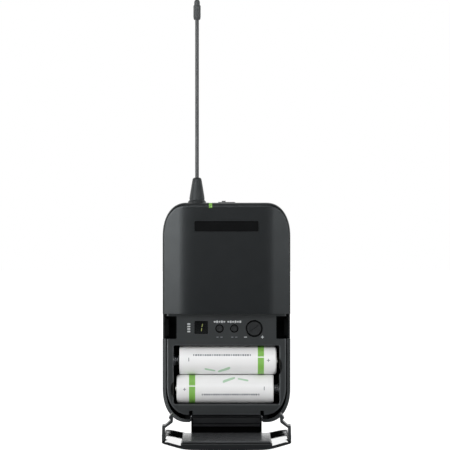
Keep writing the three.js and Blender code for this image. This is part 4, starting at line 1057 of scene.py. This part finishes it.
def build_antenna():
    z0, z1 = cad_height("antenna_ferrule")
    ferrule = turned("z", ANTENNA_X, ANTENNA_Y, [
        (1.1, z0), (2.7, z0), (2.7, z1 - 0.1), (2.6, z1), (1.1, z1),
    ])
    finish_piece(ferrule, "antenna_collar", "nickel", "nickel_plate", "antenna_ferrule")
    z0, z1 = cad_height("antenna_boot")
    boot = turned("z", ANTENNA_X, ANTENNA_Y, [
        (1.1, z0), (2.8, z0), (2.8, TOP_Z + 0.03), (4.55, TOP_Z + 0.03), (4.6, TOP_Z + 0.2),
        (4.45, TOP_Z + 0.6),
        (4.1, TOP_Z + 0.95), (3.9, TOP_Z + 1.25), (3.72, TOP_Z + 1.3), (3.72, TOP_Z + 1.6),
        (3.84, TOP_Z + 1.65),
        (3.8, TOP_Z + 2.3), (3.6, z0 + 3.2), (2.3, z1 - 1.1), (2.1, z1 - 0.5), (1.75, z1 - 0.15),
        (1.35, z1), (1.1, z1),
    ], 72)
    finish_piece(boot, "antenna_base_boot", "rubber", "antenna_rubber", "antenna_boot")
    z0, z1 = cad_height("antenna_whip")
    rings = 48
    path = [(ANTENNA_X, ANTENNA_Y, z0 + (z1 - z0) * ring / rings) for ring in range(rings + 1)]
    whip = sweep(path, 0.95, 24)
    finish_piece(whip, "antenna_whip_cover", "whip", "antenna_rubber", "antenna_whip")
    z0, z1 = cad_height("antenna_tip")
    tip = turned("z", ANTENNA_X, ANTENNA_Y, [
        (0, z0), (1.35, z0), (1.7, z0 + 0.5), (1.75, z0 + 1.1), (1.85, z0 + 1.5),
        (1.85, z1 - 3.4), (1.7, z1 - 2.9),
        (1.45, z1 - 2.7), (1.45, z1 - 1.3), (1.25, z1 - 0.6), (0.8, z1 - 0.1), (0, z1),
    ], 72)
    flutes = []
    for index in range(10):
        angle = index / 10 * math.tau
        x, y = ANTENNA_X + 1.98 * math.cos(angle), ANTENNA_Y + 1.98 * math.sin(angle)
        flutes.append(rod("z", x, y, z0 + 1.9, z1 - 3.8, 0.28, 16))
    carve(tip, rod("z", ANTENNA_X, ANTENNA_Y, z0 - 1, z0 + 3.2, 1.05), *flutes)
    finish_piece(tip, "antenna_end_cap", "tip", "antenna_rubber", "antenna_tip")


# --- cells

BAND = {"start": 6.3, "end": 9.4}  # from the positive end
# a white stripe across the green band at this angle is a painted highlight, at the same height on both
# cells
HIGHLIGHT_STRIPE_ANGLE = math.radians(13)
DASHES = {"count": 25, "pitch": 1.18, "first": {1: -16.4, -1: 16.2}}
PALE_BARS = ((-4.3, 1.9, -6.6, -3.9, 1.6), (-11.0, -5.6, -4.6, -5.9, 1.1))  # x0, x1, s0, s1, width


def cell_patch(radius, cell_z, columns, rows=6):
    """A thin printed shape on a cell: columns of (x, lowest, highest), measured round the sleeve."""
    rings = []
    for x, low, high in columns:
        angles = [(low + (high - low) * row / rows) / radius for row in range(rows + 1)]
        sides = [(radius + 0.03, a) for a in angles] + [(radius - 0.06, a) for a in reversed(angles)]
        rings.append([(x, CELL_Y - r * math.cos(a), cell_z + r * math.sin(a)) for r, a in sides])
    return loft(rings)


def pill_columns(x0, x1, s0, s1, width, steps=16):
    """Columns of a round-ended bar that runs from (x0, s0) to (x1, s1)."""
    half = width / 2
    columns = []
    for step in range(steps + 1):
        turn = math.pi * step / steps
        x = (x0 + x1) / 2 - (x1 - x0) / 2 * math.cos(turn)
        share = (x - x0) / (x1 - x0)
        near_end = min(share, 1 - share) * (x1 - x0)
        bulge = half * math.sqrt(max(1 - max(1 - near_end / half, 0) ** 2, 0.02))
        middle = s0 + (s1 - s0) * share
        columns.append((x, middle - bulge, middle + bulge))
    return columns


def build_cell(name, side):
    """side is +1 when the positive end points to +X. Profile distances run from the negative end."""
    body = name + "_cell"
    x0, x1, _, _, z0, z1 = cad_box(body + "_sleeve")
    radius, z, length = (z1 - z0) / 2, (z0 + z1) / 2, x1 - x0
    negative, positive = (x0, x1)[::side]
    lip, core = radius - 1.5, radius - 0.26

    def turned_cell(profile, steps=96):
        return turned("x", CELL_Y, z, [(r, negative + side * distance) for r, distance in profile], steps)

    # the band leaves out a thin stripe at a fixed angle, which stays white as a painted highlight
    def on_band(centre, _):
        distance = side * (centre.x - negative)
        outside = math.hypot(centre.y - CELL_Y, centre.z - z) > radius - 0.1
        on_painted_highlight = abs(math.atan2(centre.z - z, CELL_Y - centre.y) - HIGHLIGHT_STRIPE_ANGLE) < math.radians(2)
        return length - BAND["end"] < distance < length - BAND["start"] and outside and not on_painted_highlight

    sleeve = turned_cell([
        (lip, 0), (radius - 0.75, 0), (radius - 0.3, 0.12), (radius - 0.08, 0.35), (radius, 0.75),
        (radius, length - BAND["end"]), (radius, length - BAND["start"]), (radius, length - 1.1),
        (radius - 0.1, length - 0.6), (radius - 0.4, length - 0.2), (radius - 0.95, length),
        (lip - 0.4, length),
        (lip - 0.4, length - 0.22), (radius - 0.2, length - 1), (radius - 0.2, 0.8), (lip, 0.2),
    ])
    finish_piece(sleeve, name + "_sleeve", "sleeve", "cell_sleeve", body + "_sleeve", body=body)
    recolour(sleeve, "sleeve_green", on_band)
    can = turned_cell([
        (0, 0.32), (3.6, 0.32), (3.9, 0.22), (lip + 0.2, 0.22), (core - 0.3, 0.5), (core, 1),
        (core, length - 1.3),
        (lip, length - 0.3), (4.1, length - 0.26), (3.9, length - 0.5), (0, length - 0.5),
    ])
    finish_piece(can, name + "_can", "spring", "spring_steel", body + "_can", body=body)
    low, high = sorted(side * (x - negative) for x in cad_box(body + "_cap")[:2])
    cap = turned_cell([
        (0, low - 0.35), (3.3, low - 0.35), (3.1, low), (2.75, low + 0.1), (2.7, high - 0.3),
        (2.55, high - 0.08),
        (2.3, high), (0, high),
    ], 64)
    finish_piece(cap, name + "_cap", "nickel", "nickel_plate", body + "_cap", body=body)
    build_cell_print(name, side, radius, z, positive, negative)


def build_cell_print(name, side, radius, z, positive, negative):
    """Generic print: a plus, a minus, a row of dashes and two pale bars."""
    def patch(x, half, low, high, rows=6):
        return cell_patch(radius, z, [(x - half, low, high), (x + half, low, high)], rows)

    plus_x, minus_x = positive - side * 4.1, negative + side * 4.8
    low, high = sorted((side * 2.25, side * 3.15))
    places = [DASHES["first"][side] + side * index * DASHES["pitch"] for index in range(DASHES["count"])]
    dashes = [patch(x, 0.425 if index % 4 else 0.25, low, high, 3) for index, x in enumerate(places)]
    prints = {
        "plus": join(patch(plus_x, 0.75, -0.15, 0.15), patch(plus_x, 0.15, -0.75, 0.75)),
        "minus": patch(minus_x, 0.17, -0.5, 1.4),
        "dashes": join(*dashes),
    }
    for number, pale_bar in enumerate(PALE_BARS, 1):
        columns = pill_columns(*pale_bar)
        if side < 0:
            columns = [(-x, -upper, -lower) for x, lower, upper in reversed(columns)]
        prints[f"pale_bar_{number}"] = cell_patch(radius, z, columns)
    for mark, shape in prints.items():
        look = "pale_green" if "pale" in mark else "ink_grey"
        finish_piece(shape, f"{name}_{mark}", look, "cell_sleeve", body=name + "_cell")


def build_spring(name):
    """A cone spring whose wide end rests on the bay wall, with a flat turn at each end."""
    x0, x1, _, _, _, _ = cad_box(name + "_spring_contact")
    z = UPPER_CELL_Z if name == "upper" else LOWER_CELL_Z
    base, tip = (x0 + 0.35, x1 - 0.35) if name == "upper" else (x1 - 0.35, x0 + 0.35)
    path = []
    steps = 150
    turns = 3.5
    for step in range(steps + 1):
        share = step / steps
        climb = min(max((share - 0.12) / 0.76, 0), 1)
        angle = share * turns * math.tau
        radius = 3.1 - 1.2 * share
        x = base + (tip - base) * climb
        path.append((x, CELL_Y + radius * math.cos(angle), z + radius * math.sin(angle)))
    spring = sweep(path, 0.33, 12)
    finish_piece(spring, name + "_spring", "spring", "spring_steel", name + "_spring_contact")


def build_plate_contact(name):
    x0, x1, y0, y1, z0, z1 = cad_box(name + "_plate_contact")
    y, z = (y0 + y1) / 2, (z0 + z1) / 2
    plate = prism("x", rounded_rectangle(y0, y1, z0, z1, 0.8), x0, x1)
    inward = x0 if name == "upper" else x1
    side = -1 if name == "upper" else 1
    dimple = turned("x", y, z, [
        (0, inward - side * 0.2), (2.4, inward - side * 0.1), (2.1, inward + side * 0.12),
        (1.4, inward + side * 0.2),
        (0, inward + side * 0.22),
    ], 48)
    join(plate, dimple)
    finish_piece(plate, name + "_contact", "dim_nickel", "nickel_plate", name + "_plate_contact", edge=0.05)


# --- battery door

LINER = {"half": 21.8, "front": FRONT_Y + DOOR_WALL + 0.3, "back": -16.45, "bottom": -47.0}
LATCH_OUTLINE = [
    (-31.85, -16.4), (-30.4, -16.4), (-30.3, -10.1), (-28.0, -8.5), (-26.4, -7.2), (-26.3, -3.6),
    (-27.1, -3.0), (-28.6, -5.2), (-27.6, -5.8), (-27.6, -6.3), (-30.2, -8.8), (-31.7, -8.9),
]
LATCH_BOTTOM_Z, LATCH_TOP_Z = -12.3, -2.6


def strap_section():
    """The strap's section in X and Z, with its long edges rounded."""
    return rounded_rectangle(-STRAP_HALF, STRAP_HALF, BOTTOM_Z + 0.05, BOTTOM_Z + STRAP_WALL, 0.8)


def rounded_end_view(edge=END_WALL_EDGE_Y, radius=0.8):
    """Side view of the door's end wall, whose inner edge is rounded."""
    points = [(FRONT_Y + 1, DOOR_TOP_Z - 1.3), (FRONT_Y + 1, DOOR_TOP_Z)]
    points += [(edge - radius * inset, DOOR_TOP_Z - radius * sink) for inset, sink in quarter_round(5)]
    return points + [(edge, DOOR_TOP_Z - 1.3)]


def strap_kind(centre):
    """Which of the strap's finishes a place on the shut door takes, or None off the strap. The strap is
    near black as painted shade, and the lower step of its root is lighter as painted light.
    """
    if centre.z > BOTTOM_Z + 7 or centre.y < FRONT_Y + 4 or abs(centre.x) > STRAP_HALF + 0.1:
        return None
    # places off the root take the near-black finish that paints shade; the lower step of the root takes the
    # lighter finish that paints light
    if centre.y < STRAP_ROOT_Y - 0.1:
        return 2
    if centre.z > BOTTOM_Z + 5.7 or centre.z < BOTTOM_Z + 0.4:
        return 2
    return 4 if centre.z < BOTTOM_Z + 3.4 and centre.y < HINGE_Y - 3.3 else 3


def build_door():
    panel = keep(pack_solid(), block(-FAR, FAR, -FAR, 0, -FAR, DOOR_TOP_Z))
    carve(panel, behind_face(DOOR_WALL + DOOR_SKIRT), pack_solid(DOOR_WALL, DOOR_WALL, 0))
    carve(panel, *both_sides(LATCH_ROOM["inner"], FAR, LATCH_ROOM["front"], 0, LATCH_BOTTOM_Z - 0.3, 0))
    end_wall = prism("x", rounded_end_view(), -22.5, 22.5)
    strap = prism("y", strap_section(), FRONT_Y + 2.2, HINGE_Y)
    root_view = rounded_polygon([
        (HINGE_Y, BOTTOM_Z + 0.5), (STRAP_ROOT_Y, BOTTOM_Z + 0.5), (STRAP_ROOT_Y, BOTTOM_Z + 3.2),
        (HINGE_Y - 3.4, BOTTOM_Z + 3.2), (HINGE_Y - 3.4, BOTTOM_Z + 5.6), (HINGE_Y, BOTTOM_Z + 5.6),
    ], 0.6)
    root = prism("x", root_view, -STRAP_HALF + 0.9, STRAP_HALF - 0.9)
    knuckle = rod("x", HINGE_Y, HINGE_Z, -STRAP_HALF + 0.2, STRAP_HALF - 0.2, HINGE_RADIUS)
    join(panel, end_wall, strap, root, knuckle)
    carve(panel, rod("x", HINGE_Y, HINGE_Z, -STRAP_HALF - 1, STRAP_HALF + 1, PIN_HOLE))
    soften(panel, 0.2)
    panel.data.materials.clear()
    for look in ("door", "door_inside", "strap", "strap_root", "strap_low"):
        panel.data.materials.append(LOOKS[look])
    for face in panel.data.polygons:
        centre = face.center / MM
        kind = strap_kind(centre)
        if kind is not None:
            face.material_index = kind
        elif face.normal.y > 0.2:
            face.material_index = 1
    swing_open(panel)
    finish_piece(panel, "door_shell", None, "door_plastic", "door_panel", body="door", edge=None)


def build_liner():
    root = DOOR_TOP_Z - 1.6
    front, back, bottom, top = LINER["front"], LINER["back"], LINER["bottom"], DOOR_TOP_Z - 0.2
    side_view = rounded_polygon([
        (front, bottom), (front, root), (back - 0.3, root), (back - 0.3, top), (back, top),
        (back, bottom + 1.5),
        (back - 1.5, bottom),
    ], 0.1, 2)
    liner = prism("x", side_view, -LINER["half"], LINER["half"])
    soften(liner, 0.3, segments=3)
    swing_open(liner)
    finish_piece(
        liner, "door_inner_platform", "liner", "door_plastic", "door_liner", body="door", edge=None,
    )


def build_latch(name, side):
    points = [(-side * x, y) for x, y in LATCH_OUTLINE]
    latch = prism("z", rounded_polygon(points, 0.35), LATCH_BOTTOM_Z, LATCH_TOP_Z)
    soften(latch, 0.12)
    swing_open(latch)
    finish_piece(latch, name + "_arm", "latch", "door_plastic", name, body=name, edge=None)


def build_hinge_rod():
    radius = 1.2
    pin = turned("x", HINGE_Y, HINGE_Z, [
        (0, HINGE_X0), (radius - 0.25, HINGE_X0), (radius, HINGE_X0 + 0.25), (radius, HINGE_X1 - 0.25),
        (radius - 0.25, HINGE_X1), (0, HINGE_X1),
    ], 40)
    finish_piece(pin, "hinge_pin", "spring", "spring_steel", "hinge_rod", body="door")


# --- back of the pack


def smooth_path(corners, radius, steps=8):
    """Straight legs joined by curved bends."""
    points = [Vector(corner) for corner in corners]
    path = [points[0]]
    for before, corner, after in zip(points, points[1:], points[2:]):
        path += bend(before, corner, after, radius, steps, 0.5)
    return path + [points[-1]]


def build_belt_clip():
    bottom, inner, stand_off = cad_height("belt_clip")[0] + 0.9, 9.4, 7.0
    right = [
        (CLIP_X - 0.4, CLIP_Y, CLIP_Z), (inner, CLIP_Y, CLIP_Z), (inner, stand_off, CLIP_Z - 5),
        (inner, stand_off - 0.3, bottom + 20), (inner - 1, 3.0, bottom + 6), (inner - 1.8, 5.6, bottom),
    ]
    left = [(-x, y, z) for x, y, z in reversed(right)]
    clip = sweep(smooth_path(right + left, 2.6), 0.9, 20)
    finish_piece(clip, "belt_clip_wire", "clip", "clip_wire", "belt_clip", body="belt_clip")


def build_screw(name):
    x, _, z = SCREWS[name]
    _, _, y0, y1, _, _ = cad_box("screw_" + name)
    screw = turned("y", x, z, [
        (0, y1), (0.9, y1 - 0.02), (1.5, y1 - 0.18), (SCREW_HEAD, y1 - 0.5),
        (SCREW_HEAD, y1 - 1.4), (1.1, y1 - 1.5),
        (1.1, y0 + 0.8), (0.4, y0), (0, y0),
    ], 40)
    arms = [
        block(x - 1.1, x + 1.1, y1 - 0.75, y1 + 1, z - 0.22, z + 0.22),
        block(x - 0.22, x + 0.22, y1 - 0.75, y1 + 1, z - 1.1, z + 1.1),
    ]
    carve(screw, *arms)
    finish_piece(screw, "screw_head_" + name, "clip", "spring_steel", "screw_" + name)


# --- CAD nodes that stay

KEPT_NODES = {
    "display_module": "component", "group_tact_switch": "component", "channel_tact_switch": "component",
    # the gain potentiometer's black finish also serves as painted shade in the gap round the rotor
    "gain_potentiometer": "component", "main_board": "board", "shield_can": "tin",
    "audio_chip": "component",
    "filter_capacitor": "tin", "power_led": "light", "power_switch_body": "tin",
}


def dress_kept_nodes():
    for node, look in KEPT_NODES.items():
        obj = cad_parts[node]
        obj.data.materials.clear()
        obj.data.materials.append(LOOKS[look])


# --- stage

CAMERA_X, CAMERA_Z, CAMERA_Y = -0.75, 43.8, -2400.0
PICTURE_WIDTH = 225.6  # millimetres across the picture at the pack's face
PICTURE_PLANE_Y = -15.0
SENSOR = 36.0
LIGHTS = {  # direction from the pack, distance and size in metres, watts
    "key_left": ((-0.66, -0.78, 0.02), 1.7, (0.7, 1.3), 26),
    "fill_right": ((0.66, -0.78, 0.02), 1.8, (0.6, 1.2), 9.5),
    "front_high": ((0.0, -1.0, 0.5), 1.8, (1.4, 0.3), 6),
    "edge_left": ((-1.0, 0.15, 0.1), 1.7, (0.8, 1.3), 7),
    "edge_right": ((1.0, 0.15, 0.1), 1.7, (0.8, 1.3), 5),
    "top_soft": ((0.0, -0.35, 1.0), 1.6, (1.4, 0.9), 3),
}


def build_camera():
    camera = bpy.data.objects.new("camera", bpy.data.cameras.new("camera"))
    bpy.context.scene.collection.objects.link(camera)
    camera.data.sensor_width = SENSOR
    camera.data.lens = SENSOR * (PICTURE_PLANE_Y - CAMERA_Y) / PICTURE_WIDTH
    camera.location = Vector((CAMERA_X, CAMERA_Y, CAMERA_Z)) * MM
    camera.rotation_euler = (math.radians(90), 0, 0)
    camera.data.clip_start = 0.1
    camera.data.clip_end = 60
    bpy.context.scene.camera = camera


def add_area_light(name, direction, distance, size, power):
    """A soft light in a direction from the pack, turned to face it."""
    data = bpy.data.lights.new(name, "AREA")
    data.shape = "RECTANGLE"
    data.size, data.size_y = size
    data.energy = power
    light = bpy.data.objects.new(name, data)
    bpy.context.scene.collection.objects.link(light)
    towards = Vector(direction).normalized()
    light.location = towards * distance
    light.rotation_euler = (-towards).to_track_quat("-Z", "Y").to_euler()


def build_world():
    """A white backdrop behind the pack and a dim room in front of it; the camera sees only white."""
    world = bpy.data.worlds.new("studio")
    bpy.context.scene.world = world
    world.use_nodes = True
    tree = world.node_tree
    background = tree.nodes["Background"]
    direction = add_node(tree, "TexCoord").outputs["Generated"]
    away = add_node(tree, "SeparateXYZ", None, in0=direction).outputs["Y"]
    room = stretch(tree, away, -0.1, 0.9, 0.06, 1.6)
    paths = add_node(tree, "LightPath").outputs
    strength = add_node(tree, "Mix", None, in0=paths["Is Camera Ray"], in2=room, in3=1.0).outputs[0]
    tree.links.new(strength, background.inputs["Strength"])
    background.inputs["Color"].default_value = (1, 1, 1, 1)


def build_floor():
    low = CAD_BOUNDS[0].z / MM
    floor = prism("z", [(-6000, -3000), (6000, -3000), (6000, 9000), (-6000, 9000)], low - 20, low - 0.05)
    look, tree, surface = blank_material()
    tone = blend_colours(tree, millimetre_noise(tree, 300, 2), (0.78, 0.78, 0.78, 1), (0.82, 0.82, 0.82, 1))
    tree.links.new(tone, surface.inputs["Base Color"])
    surface.inputs["Roughness"].default_value = 0.9
    surface.inputs["Specular IOR Level"].default_value = 0.0
    glow = add_node(tree, "Emission", None, Color=(1, 1, 1, 1), Strength=1.5)
    seen = add_node(tree, "LightPath").outputs["Is Camera Ray"]
    share = stretch(tree, seen, 0.0, 1.0, 0.0, 0.7)
    mixed = add_node(tree, "MixShader", None, in0=share, in1=surface.outputs[0], in2=glow.outputs[0])
    tree.links.new(mixed.outputs[0], tree.nodes["Material Output"].inputs["Surface"])
    floor.name = "floor"
    floor.data.materials.append(look)


def build_stage():
    build_camera()
    build_world()
    build_floor()
    for name, placing in LIGHTS.items():
        add_area_light(name, *placing)
    bpy.context.scene.view_settings.view_transform = "Standard"


# --- build

build_front_housing()
build_rear_housing()
build_badge()
build_rear_label()
build_chassis()
build_display()
for button_name in BUTTON_PLACES:
    build_button(button_name)
build_rotor()
build_legends()
build_light_pipe()
build_slider()
build_connector()
build_antenna()
build_cell("upper", 1)
build_cell("lower", -1)
for cell_name in ("upper", "lower"):
    build_spring(cell_name)
    build_plate_contact(cell_name)
build_door()
build_liner()
build_latch("latch_left", -1)
build_latch("latch_right", 1)
build_hinge_rod()
build_belt_clip()
for screw_name in SCREWS:
    build_screw(screw_name)
dress_kept_nodes()
build_stage()
